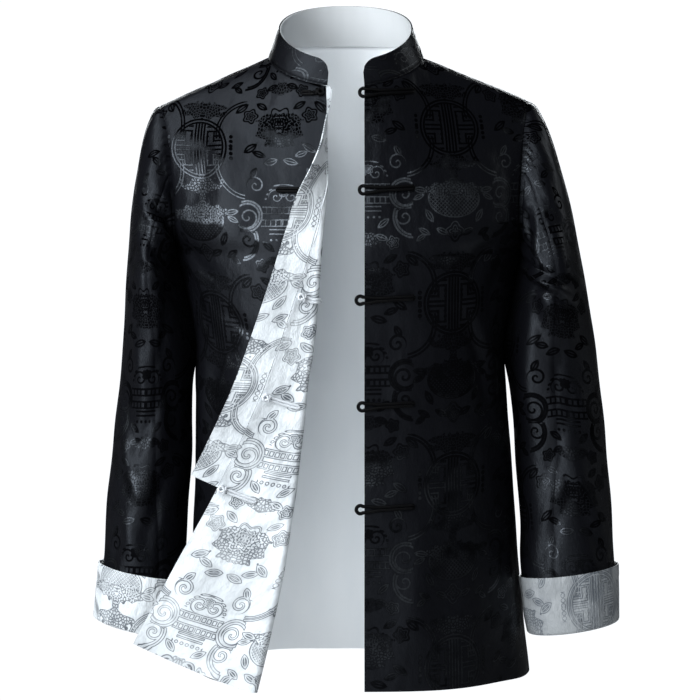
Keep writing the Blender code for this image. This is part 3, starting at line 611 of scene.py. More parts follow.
def grid_normals(points, flip):
    """Unit normals of a grid of points."""
    across, down = (unit(np.gradient(points, axis=axis)) for axis in (1, 0))
    return unit(np.cross(across, down)) * flip


def raised(points, flip, height):
    """A grid moved out by the height at each of its points, with its new normals."""
    points = points + grid_normals(points, flip) * height[..., None]
    return points, grid_normals(points, flip)


def grooved(points, normals, **edges):
    """The grid with its named edges turned in along their seams."""
    sides = {"top": (0, 0), "bottom": (0, len(points) - 1),
             "first": (1, 0), "last": (1, points.shape[1] - 1)}
    fall = np.zeros(points.shape[:2])
    for side, depth in edges.items():
        axis, start = sides[side]
        away = np.abs(lengths(points, axis, start))
        fall = np.maximum(fall, depth * np.exp(-(away / GROOVE_WIDTH) ** 2))
    return points - normals * fall[..., None], fall / GROOVE


def quads(rows, columns, round_rows=False, round_columns=False):
    """Faces between a grid's points; it may come round to its first row or column."""
    r, c = grid(np.arange(rows - 1 + round_rows), np.arange(columns - 1 + round_columns))
    here, below, after = r * columns, (r + 1) % rows * columns, (c + 1) % columns
    return np.stack((here + c, here + after, below + after, below + c), axis=-1).reshape(-1, 4)


def new_mesh(name, verts, faces, materials, indices=None, uv=None, seam=None):
    """A smooth object of points in millimetres, with its faces' materials and cloth coordinates."""
    mesh = bpy.data.meshes.new(name)
    mesh.from_pydata((np.reshape(verts, (-1, 3)) * MM).tolist(), [], faces)
    for material in materials:
        mesh.materials.append(material)
    if indices is not None:
        mesh.polygons.foreach_set("material_index", indices)
    if uv is not None:
        corners = np.zeros(len(mesh.loops), int)
        mesh.loops.foreach_get("vertex_index", corners)
        layer = mesh.uv_layers.new(name="cloth")
        layer.data.foreach_set("uv", (np.reshape(uv, (-1, 2))[corners] * MM).ravel())
    # The seam value is a groove's depth share, which the black satin uses as painted shade along the
    # seams.
    if seam is not None:
        mesh.attributes.new("seam", "FLOAT", "POINT").data.foreach_set("value", np.ravel(seam))
    mesh.shade_smooth()
    mesh.set_sharp_from_angle(angle=math.radians(SHARP))
    mesh.validate()
    piece = bpy.data.objects.new(name, mesh)
    bpy.context.scene.collection.objects.link(piece)
    return piece


def shell(name, points, normals, uv, thickness, materials, shift=0.0, seam=None,
          white_columns=0, allowance=0):
    """A closed shell of cloth about a grid, with an outer and an inner face and a rim.

    The rim is of the outer cloth, and so are the inner face's first rows, as many as the seam's
    allowance. With white_columns, the rim is of the inner cloth down the last column and along
    that many columns of the hem.
    """
    rows, columns = points.shape[:2]
    sheets = [points + normals * (shift + side * thickness / 2) for side in (1, -1)]
    index = np.arange(rows * columns).reshape(rows, columns)
    rim = np.concatenate((index[0], index[1:, -1], index[-1, -2::-1], index[-2:0:-1, 0]))
    after, under = np.roll(rim, -1), rows * columns
    face = quads(rows, columns)
    edge = np.stack((after, rim, under + rim, under + after), axis=1)
    faces = np.concatenate((face, under + face[:, ::-1], edge))
    row, column = rows // 2, columns // 2
    across = points[row, column + 1] - points[row, column]
    down = points[row + 1, column] - points[row, column]
    if np.dot(np.cross(across, down), normals[row, column]) < 0:
        faces = faces[:, ::-1]
    inner_cloth = len(materials) - 1
    indices = np.repeat((0, inner_cloth, 0), (len(face), len(face), len(edge)))
    indices[len(face):len(face) + allowance * (columns - 1)] = 0
    if white_columns:
        start = 2 * len(face) + columns - 1
        indices[start:start + rows - 1 + white_columns] = inner_cloth
    seam = np.zeros(points.shape[:2]) if seam is None else seam
    return new_mesh(name, sheets, faces.tolist(), materials, indices, (uv, uv), (seam, seam))


# Where the brocade's repeat falls on each piece: the way across and the level of the middle of a
# round.
PATTERN = {
    "back": (0, 150),
    "front_left": (104, 80),
    "front_right": (158, 108),
    "lapel": (-45, 387),
    "underlap": (-45, 387),
    "sleeve_left": (-20, 330),
    "sleeve_right": (20, 318),
    "collar": (60, -75),
    "cuff_left": (62, 625),
    "cuff_right": (140, 560),
}


def cloth_uv(piece, x, z):
    """Places on the brocade, in millimetres from the middle of a round."""
    column, level = PATTERN[piece]
    return np.stack((x - column, level - z), axis=-1)


# Each piece's cut: width and length in millimetres, and area in square metres
CUTS = {
    "back": (527, 754, 0.338),
    "front_left": (261, 749, 0.164),
    "front_right": (292, 747, 0.177),
    "lining_front_right": (185, 691, 0.0746),
    "underlap": (33, 483, 0.0153),
    "sleeve_left_top": (242, 619, 0.1145),
    "sleeve_left_under": (210, 544, 0.0683),
    "sleeve_right_top": (238, 604, 0.1062),
    "sleeve_right_under": (206, 540, 0.0657),
    "cuff": (328, 105, 0.0262),
    "collar": (47, 473, 0.0166),
}


def declare(piece, cut, nodes):
    """Hides the solids that a shell stands for and hangs the shell from the root; the cut's sizes are
    looked up but not used.
    """
    width, length, area = CUTS[cut]
    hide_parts(*nodes)
    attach(piece, "root")


def make_panel(name, surface, low, middle, flip, seams, cloths):
    """The back or the left front; middle is a column in the middle of the panel."""
    v = even(lambda rows: surface(rows, 0 * rows + middle), 0, HEM_ROW)
    u = even(lambda columns: surface(0 * columns + WIDTH_ROW, columns), low, 1)
    points = surface(*grid(v, u))
    x, z = lengths(points, 1, int(np.abs(u).argmin())), levels(points, v)
    points, normals = raised(points, flip, relief(CREASES[name], x, z) + unevenness(x, z, UNEVEN))
    points, seam = grooved(points, normals, **seams)
    piece = shell(f"cloth_{name}", points, grid_normals(points, flip), cloth_uv(name, x, z), CLOTH,
                  cloths, seam=seam)
    declare(piece, name, [name])


def make_front_right(black, white):
    """The right front and its white facing, which share one draped surface."""
    v = even(lambda rows: front_right(rows, 0 * rows + 5), 0, HEM_ROW)
    parts = (
        np.linspace(0, BODY_COLUMNS, 60)[:-1],
        np.linspace(BODY_COLUMNS, BODY_COLUMNS + ROLL_COLUMNS, 13)[:-1],
        np.linspace(BODY_COLUMNS + ROLL_COLUMNS, FREE_EDGE, 40),
    )
    u = np.concatenate(parts)
    rows, columns = grid(v, u)
    points = front_right(rows, columns)
    x = -lengths(points, 1, len(u) - 1)
    z = levels(points, v)
    normals = grid_normals(points, -1)
    # The turned part has creases of its own, which fade in over the roll.
    turned = ease((columns - BODY_COLUMNS - 4) / 6) * ease((rows - LAID_ROW) / 2)
    height = relief(CREASES["front_right"], x, z) * (1 - turned)
    height = height - relief(CREASES["lapel"], x, z) * turned + unevenness(x, z, UNEVEN)
    points = points + normals * height[..., None]
    points, seam = grooved(points, normals, top=GROOVE, first=GROOVE)
    normals = grid_normals(points, -1)
    piece = shell("cloth_front_right", points, normals, cloth_uv("front_right", x, z), CLOTH,
                  (black, white), seam=seam, white_columns=WHITE_HEM_COLUMNS)
    declare(piece, "front_right", ["front_right"])

    first_row = int(np.searchsorted(v, FACING_ROW))
    first_column = int(np.searchsorted(u, BODY_COLUMNS - 2))
    inside = (slice(first_row, None), slice(first_column, None))
    uv = cloth_uv("lapel", x, z)[inside]
    shift = -(HALF + SEAM + LINING / 2)
    points[-1] += unit(points[-1] - points[-2]) * FACING_ROLL
    piece = shell("cloth_lining_front_right", points[inside], normals[inside], uv, LINING,
                  (white, white), shift)
    declare(piece, "lining_front_right", ["lining_front_right"])


STRIP_UNEVEN = 0.35
STRIP_CREASES = (
    (0, 268, 33, 262, -1.6, 6, 0), (3, 150, 30, 172, -1.2, 6, 1), (5, 205, 30, 196, 1.0, 9, 0),
    (6, 330, 28, 372, -1.0, 7, 2), (4, 440, 30, 420, 1.0, 9, 0),
)


def make_underlap(white):
    """The strip along the right front's edge."""
    last = float(row_at(STRIP_END))
    v = even(lambda rows: underlap(rows, 0 * rows), STRIP_START, last)
    points = underlap(*grid(v, np.linspace(0, 1, 10)))
    x = -lengths(points, 1, 0)
    z = levels(points, v)
    height = unevenness(x, z, STRIP_UNEVEN) + relief(STRIP_CREASES, -x, z)
    points, normals = raised(points, -1, height)
    piece = shell("cloth_underlap", points, normals, cloth_uv("underlap", x, z), CLOTH, (white,))
    declare(piece, "underlap", ["underlap"])


# ---- sleeves and cuffs

# Creases of the sleeves, with the columns of SLEEVE_FOLDS.
SLEEVE_CREASES = {
    LEFT: (
        (178, 128, 5.0, 7, 25, 3.84), (215, 124, 0.52, 30, 8, -4.16), (215, 108, 0.52, 30, 8, 2.88),
        (263, 108, -2.7, 13, 13, 5.12), (275, 104, -2.7, 13, 14, -5.44), (250, 112, -2.7, 13, 12, -3.2),
        (176, 150, -0.7, 30, 9, 2.56), (226, 150, -0.9, 30, 9, 2.56), (120, 40, -0.3, 34, 14, 2.24),
        (300, 118, -0.35, 44, 10, -3.52), (372, 128, 0.10, 70, 15, 5.44), (352, 86, 0.22, 46, 10, -3.84),
        (410, 60, -0.4, 34, 11, 3.2), (450, 100, 0.35, 40, 12, -3.52), (500, 70, -0.45, 40, 12, 3.52),
        (545, 110, 0.5, 34, 12, -3.2), (565, 55, -0.4, 34, 12, -2.88), (190, -60, 0.6, 40, 14, -3.84),
        (250, -90, 0.5, 44, 14, 4.16), (330, -75, -0.4, 44, 13, -3.84), (380, -110, 0.4, 44, 13, -3.52),
        (460, -70, 0.35, 50, 14, 3.84), (540, -95, -0.4, 40, 13, -3.2), (600, 20, 0.2, 34, 14, -2.24),
    ),
    RIGHT: (
        (191, 112, 1.78, 28, 14, -4.8), (203, 104, 1.78, 28, 13, 3.84), (180, 120, 1.78, 24, 12, 2.88),
        (236, 116, 1.4, 26, 12, -3.84), (250, 106, 1.4, 26, 12, 3.2), (272, 132, 0.9, 30, 10, -3.2),
        (150, 108, 1.9, 20, 12, -2.56), (130, 50, -0.3, 34, 14, 2.24), (318, 112, -0.35, 40, 10, -3.52),
        (360, 70, 0.3, 44, 12, 2.88), (390, 120, 0.2, 50, 13, -3.84), (430, 84, -0.45, 40, 11, -3.52),
        (470, 62, 0.4, 40, 12, 3.52), (515, 108, -0.3, 40, 12, -3.52), (560, 76, 0.4, 34, 12, 2.88),
        (580, 46, -0.35, 30, 12, -2.88), (200, -60, 0.6, 40, 14, -3.84), (262, -88, 0.5, 44, 14, 4.16),
        (340, -70, -0.4, 44, 13, -3.84), (395, -105, 0.4, 44, 13, -3.52), (470, -75, 0.35, 50, 14, 3.52),
        (548, -95, -0.4, 40, 13, -3.2), (605, 10, 0.2, 34, 14, -2.24),
    ),
}


# Where a sleeve swells towards the body, with the same columns.
SLEEVE_SWELLS = {
    LEFT: ((302, 186, 0.0, 66, 42, 7.4), (622, 186, 0.0, 58, 44, 5.4)),
    RIGHT: ((300, 186, 0.0, 66, 42, 8.4),),
}
SLEEVE_RADIUS = 56      # usual radius of a sleeve, which makes lengths across of its degrees
SLEEVE_UNEVEN = 0.5
PUCKER = 0.35           # height of the small puckers along the armhole


def sleeve_swell(side, degrees, level):
    """How far the sleeve stands out where it swells."""
    return round_relief(SLEEVE_SWELLS[side], degrees, level, power=4)


def dressed_sleeve(side, w, degrees):
    """The sleeve's points with its creases, and the length across from the outer line."""
    plain = sleeve(side, w, degrees)
    level, across = -plain[..., 2], np.radians(degrees) * SLEEVE_RADIUS
    calm = ease((w + 1) * 5) * ease((1 - w) * 6)
    height = round_relief(SLEEVE_CREASES[side], degrees, level)
    height = (height + unevenness(across, level, SLEEVE_UNEVEN)) * calm
    # The puckers are 46 small waves round the armhole, just below its seam.
    puckers = PUCKER * np.sin(np.radians(degrees) * 46) * np.exp(-((w + 0.93) / 0.07) ** 2)
    height = height + puckers + sleeve_swell(side, degrees, level)
    return plain + sleeve_normals(side, w, degrees) * height[..., None], across


def make_sleeve(side, word, black, plain):
    """A sleeve's top and under pieces, from the armhole to the end in the cuff."""
    w = even(lambda at: sleeve(side, at, 0 * at), -1, 1)
    for name, count in (("top", 76), ("under", 58)):
        rows, share = grid(w, np.linspace(0, 1, count))
        degrees = sleeve_degrees(name, rows, share)
        points, across = dressed_sleeve(side, rows, degrees)
        z = lengths(points, 0, int(np.abs(w).argmin())) + BICEP
        normals = grid_normals(points, side)
        points, seam = grooved(points, normals, top=GROOVE, first=SLEEVE_GROOVE, last=SLEEVE_GROOVE)
        points[0, :, 0] -= side * TUCK
        uv = cloth_uv(f"sleeve_{word}", side * across, z)
        cut = f"sleeve_{word}_{name}"
        piece = shell(f"cloth_{cut}", points, grid_normals(points, side), uv, CLOTH,
                      (black, plain), seam=seam, allowance=ALLOWANCE_ROWS)
        nodes = [f"{cut}_{part}" for part in ("upper", "lower")]
        declare(piece, cut, nodes)


CUFF_TOP = 1 - CUFF_DEPTH / (SLEEVE_END - BICEP)    # row of the cuff's top edge
CUFF_MIDDLE = 0.5 * CUFF_TOP + 0.46
RETURN_TOP = 0.96       # row where the cloth turned inside the cuff ends


def cuff_section():
    """The cuff's section: sleeve row, distance out of the sleeve and distance below that row."""
    top, middle, low, end = CUFF_TOP, CUFF_MIDDLE, RETURN_TOP, 1.0
    return (
        (top, 2.5, 0), (top, 3.9, -0.3), (top + 0.004, 4.3, 0.4), (top + 0.03, 4.1, 0),
        (middle, 3.7, 0), (low - 0.03, 3.5, 0), (low, 3.3, 0), (end, 3.0, 0), (end, 2.4, 1.9),
        (end, 1.5, 2.9), (end, 0.3, 3.4), (end, -1.1, 2.8), (end, -2.0, 1.4), (end, -2.3, 0),
        (low, -2.3, 0), (low, -0.95, 0), (end, -0.95, 0.2), (end, 0.0, 0.9), (end, 0.95, 0.2),
        (low, 1.2, 0), (middle, 1.6, 0), (top + 0.03, 2.2, 0),
    )


def make_cuff(side, word, white):
    """The sleeve's end turned up outside: a soft band, a rolled edge and a short return inside."""
    degrees = np.linspace(0, 360, 73)[:-1]
    # The band stands off the sleeve unevenly, most of all at its free edge.
    wave = 0.5 * np.sin(np.radians(degrees) * 3 + 1.2) + 0.35 * np.sin(np.radians(degrees) * 7)
    rings = []
    for place, out, below in cuff_section():
        w = place + 0 * degrees
        base = sleeve(side, w, degrees)
        down = unit(base - sleeve(side, w - 0.02, degrees))
        outer_face = out > 2
        lift = out + wave * ease((1 - place) * 9) * outer_face
        lift = lift + sleeve_swell(side, degrees, -base[:, 2])
        rings.append(base + sleeve_normals(side, w, degrees) * lift[:, None] + down * below)
    rings = np.array(rings)
    faces = quads(*rings.shape[:2], True, True)
    if side == LEFT:
        faces = faces[:, ::-1]
    round_section = lengths(np.concatenate((rings, rings[:1])), 0, 0)[:-1]
    x = np.broadcast_to(side * np.radians(degrees) * SLEEVE_RADIUS, round_section.shape)
    uv = cloth_uv(f"cuff_{word}", x, SLEEVE_END - round_section)
    piece = new_mesh(f"cloth_cuff_{word}", rings, faces.tolist(), (white,), uv=uv)
    declare(piece, "cuff", [f"cuff_{word}"])


# ---- collar

COLLAR_UNEVEN = 0.25


def make_collar(black, painted_shade_satin):
    """The collar's outer and inner layer, with closer columns at its two front corners."""
    end = math.pi - math.asin(FRONT_EDGE / NECK_WIDTH)
    near = np.linspace(0, 24, 14) / CORNER_ROUND
    middle = np.linspace(-end + near[-1], end - near[-1], 90)[1:-1]
    arcs = np.concatenate((-end + near, middle, end - near[::-1]))
    arc, up = grid(arcs, np.linspace(-0.05, 1, 14))
    points = collar(arc, up)
    x, z = lengths(points, 0, len(arcs) // 2), -lengths(points, 1, 0)
    points, normals = raised(points, 1, unevenness(x, z, COLLAR_UNEVEN) * ease(up * 3))
    uv = cloth_uv("collar", x, z)
    seam = np.exp(-((up - 0.02) / 0.05) ** 2)
    piece = shell("cloth_collar", points, normals, uv, CLOTH, (black,), seam=seam)
    declare(piece, "collar", ["collar"])
    behind = -(HALF + SEAM + LINING / 2)
    # The inner layer's darker satin is painted shade inside the neck.
    piece = shell("cloth_collar_lining", points, normals, uv, LINING, (painted_shade_satin,), behind)
    declare(piece, "collar", ["collar_lining"])


# ---- frogs

CORD_SIDES = 12
KNOT_WIDTH, KNOT_HEIGHT = 11.4, 8.0
KNOT_CORD, KNOT_CORD_HEIGHT = 3.1, 2.6  # width and height of the cord woven into a knot
KNOT_RISE = 3.7         # from the cloth to a knot's middle
KNOT_HEAD, KNOT_LENGTH = 5.6, 47.0      # a knot's middle and its tail's end, from the knot's tip
TAIL_START = 9.5        # where the tail comes out of the knot
TAIL_APART = 1.62       # from a tail's middle to each of its two cords
LOOP_EYE = 4.5          # radius of a loop's eye
LOOP_EYES = (-1.2, -1.4, -5.0, -2.6, -4.8)      # the middle of each loop's eye, from the edge


def cord_mesh(centres, normals, widths, heights, closed=False):
    """Points and faces of a cord that lies on cloth, with its own width and height all along."""
    if closed:
        ahead = unit(np.roll(centres, -1, axis=0) - np.roll(centres, 1, axis=0))
    else:
        ahead = unit(np.gradient(centres, axis=0))
    across = unit(np.cross(ahead, normals))
    above = unit(np.cross(across, ahead))
    angles = np.linspace(0, 2 * math.pi, CORD_SIDES + 1)[:-1]
    wide = (across * widths[:, None] / 2)[:, None] * np.cos(angles)[:, None]
    high = (above * heights[:, None] / 2)[:, None] * np.sin(angles)[:, None]
    verts = (centres[:, None] + wide + high).reshape(-1, 3)
    faces = quads(len(centres), CORD_SIDES, closed, True).tolist()
    if not closed:
        faces.append(list(range(CORD_SIDES))[::-1])
        faces.append(list(range(len(verts) - CORD_SIDES, len(verts))))
    return verts, faces


def frog(name, node, cords, material):
    """One piece made of all the cords of a frog's half."""
    verts, faces, count = [], [], 0
    for points, own_faces in cords:
        verts.append(points)
        faces += [[index + count for index in face] for face in own_faces]
        count += len(points)
    piece = new_mesh(name, np.concatenate(verts), faces, (material,))
    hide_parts(node)
    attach(piece, "root")


def knot_ball(centre, along, out):
    """A button of one cord woven round a ball: three leads, two turns."""
    t = np.linspace(0, 2 * math.pi, 121)[:-1]
    latitude = 0.92 * np.cos(3 * t)
    across = np.cross(along, out)
    ball = (np.cos(latitude) * np.cos(2 * t), np.cos(latitude) * np.sin(2 * t), np.sin(latitude))
    reach = 1 + 0.10 * np.sin(6 * t)
    radius, rise = (KNOT_WIDTH - KNOT_CORD) / 2, (KNOT_HEIGHT - KNOT_CORD_HEIGHT) / 2
    spread = (along * radius, out * rise, across * radius)
    centres = centre + sum(axis * (part * reach)[:, None] for axis, part in zip(spread, ball))
    outward = unit(centres - centre)
    size = np.full(len(t), KNOT_CORD)
    return cord_mesh(centres, outward, size, size * 0.84, closed=True)


def tail_cords(centres, normals, lay):
    """The two cords of a tail, side by side along a line on the cloth."""
    ahead = unit(np.gradient(centres, axis=0))
    across = unit(np.cross(ahead, normals))
    share = np.linspace(0, 1, len(centres))
    close = ease(share * 10) * ease((1 - share) * 12)
    size = FROG_CORD * (0.45 + 0.55 * close)
    for hand in (-1, 1):
        offset = across * (hand * TAIL_APART * (0.3 + 0.7 * close))[:, None]
        yield cord_mesh(centres + offset + normals * lay, normals, size, size * 0.94)


def make_loop(index, level, material):
    """Two cords side by side on the left front, which part to an eye past its edge."""
    # p is how far the cord lies from the front's edge: in along the bar, round the eye and back.
    # q is how far it lies from the loop's middle line.
    lay = HALF + SEAM + FROG_CORD / 2
    apart, middle = FROG_CORD / 2 + 0.1, LOOP_EYES[index - 1]
    out = np.linspace(FROG_BAR, middle + 7.5, 60)
    ring = np.radians(np.linspace(52, 308, 44))
    parted = ease((middle + 21 - out) / 16) * (LOOP_EYE * math.sin(ring[0]) - apart)
    side_by_side = apart * ease((FROG_BAR - out) / 3 + 0.35) + parted
    p = np.concatenate((out, middle + LOOP_EYE * np.cos(ring), out[::-1]))
    q = np.concatenate((side_by_side, LOOP_EYE * np.sin(ring), -side_by_side[::-1]))
    inside = np.maximum(p, 1.0)
    centres, normals = on_surface(front_left, FRONT_EDGE + inside, q - level + 0.05 * inside,
                                  0.1, 1, lay + 0 * p)
    centres[:, 0] += p - inside
    size = FROG_CORD * (0.4 + 0.72 * ease((FROG_BAR - p) / 2.5)) + 0.5 * ease((middle + 8 - p) / 5)
    frog(f"frog_loop_{index}", f"loop_{index}", [cord_mesh(centres, normals, size, size)], material)


def make_knot(name, node, line, normals, base, material):
    """A knot button on a line of cloth, with its tail sewn down behind it."""
    knots = travelled(line)
    tail = np.linspace(TAIL_START, KNOT_LENGTH, 50)
    tail_line, tail_normals = point_at(tail, knots, line), unit(point_at(tail, knots, normals))
    cords = list(tail_cords(tail_line, tail_normals, base + FROG_CORD / 2 - 0.1))
    spots = point_at(np.array((KNOT_HEAD - 1, KNOT_HEAD, KNOT_HEAD + 1)), knots, line)
    out = unit(point_at(KNOT_HEAD, knots, normals))
    along = unit(spots[2] - spots[0])
    along = unit(along - out * np.dot(along, out))
    cords.append(knot_ball(spots[1] + out * (base + KNOT_RISE), along, out))
    frog(name, node, cords, material)


def make_front_knot(index, head_x, material):
    """A black knot on the right front where it isn't turned."""
    along = np.linspace(0, KNOT_LENGTH + 1, 60)
    line, normals = on_surface(front_right, -(head_x + along), 0 * along - FROG_LEVELS[index - 1],
                               BODY_COLUMNS - 1, FREE_EDGE, 0 * along)
    make_knot(f"frog_knot_black_{index}", f"knot_black_{index}", line, normals, HALF + SEAM, material)


def make_lapel_knot(index, face, word, material):
    """A knot along the cross grain of the turned front, on its white (-1) or black (1) face."""
    v = float(row_at(FROG_LEVELS[index - 1]))
    columns = np.linspace(FREE_EDGE, BODY_COLUMNS - 3, 400)
    rows = np.array((v - 0.1, v, v + 0.1))
    lines = front_right(*grid(rows, columns))
    normals = grid_normals(lines, 1)[1] * face
    base = HALF + 2 * SEAM + (LINING + SEAM if face < 0 else 0)
    make_knot(f"frog_knot_{word}_{index}", f"knot_{word}_{index}", lines[1], normals, base, material)


# ---- the brocade

REPEAT_WIDE = 200.0     # a repeat and its mirror image
LOWEST, HIGHEST = -146.0, 60.0      # the repeat's ends, from the middle of its round
STROKE = 1.1            # half the width of a woven line

# Small figures of the repeat. Sprays: middle and half sizes. Blossoms: middle, radius and petals.
# Leaves: middle, length, width and degrees of turn.
SPRAYS = ((0, 47, 26, 9), (0, -44, 23, 8), (0, -59, 3.5, 9), (0, -76, 32, 9), (84, 26, 12, 14),
          (100, 10, 18, 6), (100, -132, 12, 7))
BLOSSOMS = ((0, -72, 8.5, 5), (20, -78, 7.0, 5), (100, 32, 16, 6), (100, 32, 9, 5),
            (62, 40, 8, 5), (0, -124, 9.5, 4), (72, -136, 6.5, 5))
LEAVES = ((50, 50, 16, 7, 40), (75, 52, 15, 6, -30), (88, -16, 17, 7, 15), (30, -106, 16, 6, 60),
          (83, -114, 15, 6, -40), (15, -124, 15, 6, 25), (64, 0, 17, 7, 35), (74, -7, 15, 6, -20),
          (85, -130, 14, 6, 20), (40, -76, 15, 6, 10), (42, -84, 13, 5, -25), (36, -124, 14, 5.5, 30),
          (40, -131, 12, 5, -35), (66, -30, 13, 6, 60))


def fill(tree, node, inputs):
    """Links sockets and fields to a node's inputs, or sets the inputs to plain values."""
    for key, value in inputs.items():
        if isinstance(value, Field):
            value = value.socket
        if isinstance(value, bpy.types.NodeSocket):
            tree.links.new(value, node.inputs[key])
        else:
            node.inputs[key].default_value = value
    return node


def add_node(tree, kind, inputs):
    """A shader node with its inputs filled."""
    return fill(tree, tree.nodes.new("ShaderNode" + kind), inputs)


class Field:
    """A number that a shader works out at each point, built up from Math nodes."""

    def __init__(self, tree, socket):
        self.tree, self.socket = tree, socket

    def math(self, operation, *others):
        """The result of a Math node of this field and other fields or numbers."""
        node = add_node(self.tree, "Math", dict(enumerate((self, *others))))
        node.operation = operation
        return Field(self.tree, node.outputs[0])

    def __add__(self, other):
        return self.math("ADD", other)

    def __sub__(self, other):
        return self.math("SUBTRACT", other)

    def __rsub__(self, other):
        return self.math("MULTIPLY_ADD", -1.0, other)

    def __mul__(self, other):
        return self.math("MULTIPLY", other)

    def __abs__(self):
        return self.math("ABSOLUTE")

    def within(self, *limits):
        """At least as large as every one of the limits, which are below 0 inside a shape."""
        result = self
        for limit in limits:
            result = result.math("MAXIMUM", limit)
        return result


def nearest(*fields):
    """The least of the distances to several strokes."""
    result = fields[0]
    for field in fields[1:]:
        result = result.math("MINIMUM", field)
    return result


def joined(tree, x, y):
    """A place with x and y as its coordinates."""
    return add_node(tree, "CombineXYZ", {0: x, 1: y}).outputs[0]


def away(tree, place, x=0, y=0):
    """How far a place lies from the point x, y."""
    node = add_node(tree, "VectorMath", {0: place, 1: (x, y, 0)})
    node.operation = "DISTANCE"
    return Field(tree, node.outputs["Value"])


def noise(tree, place, scale, detail=2.0, stretch=None):
    """Noise of 0 to 1 with scale features in each unit of the place, stretched along its axes."""
    if stretch:
        place = add_node(tree, "Mapping", {"Vector": place, "Scale": stretch}).outputs[0]
    node = add_node(tree, "TexNoise", {"Vector": place, "Scale": scale, "Detail": detail})
    return Field(tree, node.outputs["Fac"])


def soft(field, outer, inner):
    """1 where the field is under inner, fading to 0 at outer."""
    node = add_node(field.tree, "MapRange",
                    {"Value": field, "From Min": outer, "From Max": inner})
    node.interpolation_type = "SMOOTHSTEP"
    return Field(field.tree, node.outputs["Result"])


class Weave:
    """The brocade's figures in millimetres: x is 0 to 100, folded, and y LOWEST to HIGHEST.

    Each figure is the distance to its strokes.
    """

    def __init__(self, tree, x, y):
        self.tree, self.x, self.y, self.level = tree, x, y, abs(y)
        self.place = joined(tree, x, y)
        self.mirrored = joined(tree, x, self.level)

    def away(self, x, y):
        """How far a point of the repeat is."""
        return away(self.tree, self.place, x, y)

    def reach(self, x, y):
        """How far x and y are from 0 together."""
        return away(self.tree, joined(self.tree, x, y))

    def waves(self, x, y, count):
        """The cosine of the way round a point, with so many waves."""
        return ((self.y - y).math("ARCTAN2", self.x - x) * count).math("COSINE")

    def spiral(self, x, y, reach, pitch, hand, start=0.0):
        """A curl of one line, wound round x, y."""
        turned = (self.y - y).math("ARCTAN2", self.x - x) * (hand * pitch / (2 * math.pi))
        radius = self.away(x, y)
        off = (radius - turned - start).math("WRAP", pitch / 2, -pitch / 2)
        return abs(off).within(radius - reach, 0.18 * pitch - radius)

    def arc(self, x, y, radius, *limits):
        """Part of a circle, cut off where a limit is above 0."""
        return abs(self.away(x, y) - radius).within(*limits)

    def blossom(self, x, y, radius, petals):
        """The outline of a flower, with a smaller one and an eye inside."""
        out = self.away(x, y) - self.waves(x, y, petals) * (0.16 * radius)
        return nearest(abs(out - radius), abs(out - 0.55 * radius), out - 0.14 * radius)

    def leaf(self, x, y, length, width, degrees):
        """A pointed leaf's outline with a vein: two circles that cross at its ends."""
        turn = math.radians(degrees)
        radius = (length * length + width * width) / (4 * width)
        shift = radius - width / 2
        dx, dy = math.sin(turn) * shift, -math.cos(turn) * shift
        one, other = self.away(x + dx, y + dy), self.away(x - dx, y - dy)
        out = one.math("MAXIMUM", other) - radius
        return nearest(abs(out), abs(one - other) * 0.5 + 0.2).within(out)

    def round_of_longevity(self):
        """The round with its bars and brackets, and rows of dots at its sides."""
        radius = away(self.tree, self.mirrored)
        rings = nearest(abs(radius - 35.5), abs(radius - 31.5))
        upright = nearest(abs(self.x - 1.9), abs(self.x - 5.6)).within(radius - 31)
        across = (self.level - 2.6).math("PINGPONG", 3.0).within(10 - self.x, radius - 29)
        gap = abs(self.x - 15) - 2.2
        broken = across.within(1.8 - gap.within(7.2 - self.level, self.level - 19))
        bracket = abs(self.x - 10.2).within(self.level - 20.5)
        second = abs(self.x - 19).within(8.3 - self.level, self.level - 20.5)
        dots = self.reach(self.x - 41, (self.level - 1.6).math("PINGPONG", 2.9)) - 0.4
        dots = dots.within(self.level - 15)
        return nearest(rings, upright, broken, bracket, second, dots - 0.7) - 0.15

    def cloud_arcs(self):
        """The double lines that leave each round and open towards the scrolls."""
        radius = away(self.tree, self.mirrored, 60, 22)
        lines = abs(abs(radius - 36.5) - 1.9)
        return lines.within(self.x - 54, 12 - self.level)

    def scrolls(self):
        """Two hooks with curls, which hold the arcs together at the sides."""
        stems = nearest(
            self.arc(58, -80, 14.5, 50 - self.x, -94 - self.y),
            self.arc(58, -80, 17.5, 52 - self.x, -96 - self.y),
            self.arc(48, -107, 20.5, 52 - self.x, self.y + 100),
            self.arc(48, -107, 23.5, 50 - self.x, self.y + 98),
            self.arc(60, -50, 13.0, self.x - 61, -34 - self.y),
        )
        curls = nearest(
            self.spiral(67, -44, 9.5, 7.6, 1),
            self.spiral(59, -81, 11.5, 8.6, -1, 1.5),
            self.spiral(59, -107, 9.5, 7.6, 1, 2.0),
        )
        return nearest(stems - 0.4, curls - 0.2)

    def lantern(self):
        """A fret with a crown of scrolls and beads, on the columns between the rounds."""
        side = abs(self.x - 100)
        bands = abs(self.y + 80) - 11
        rails = (self.y + 69).math("PINGPONG", 3.7).within(side - 24, bands)
        posts = (side - 1.0).math("PINGPONG", 3.1).within(abs(abs(self.y + 80) - 7.3) - 3.4, side - 24)
        beads = self.reach(self.away(100, -64) - 22, (self.y + 2).math("PINGPONG", 2.6)) - 0.5
        foot = nearest(abs(self.y + 95), abs(self.y + 100)).within(side - 14)
        dots = self.reach(side.math("PINGPONG", 3.2), self.y + 107) - 0.7
        return nearest(rails, posts, beads.within(-62 - self.y), foot, dots.within(side - 17),
                       self.spiral(91, -57, 8.5, 6.4, 1), self.blossom(100, -52, 5.0, 5))

    def basket(self):
        """A bowl of plaited work."""
        plait = nearest((self.x + self.y).math("PINGPONG", 2.3), (self.x - self.y).math("PINGPONG", 2.3))
        bowl = self.reach(self.x * 0.72, self.y + 86) - 22
        return nearest(plait.within(bowl, self.y + 84), abs(bowl).within(self.y + 82))

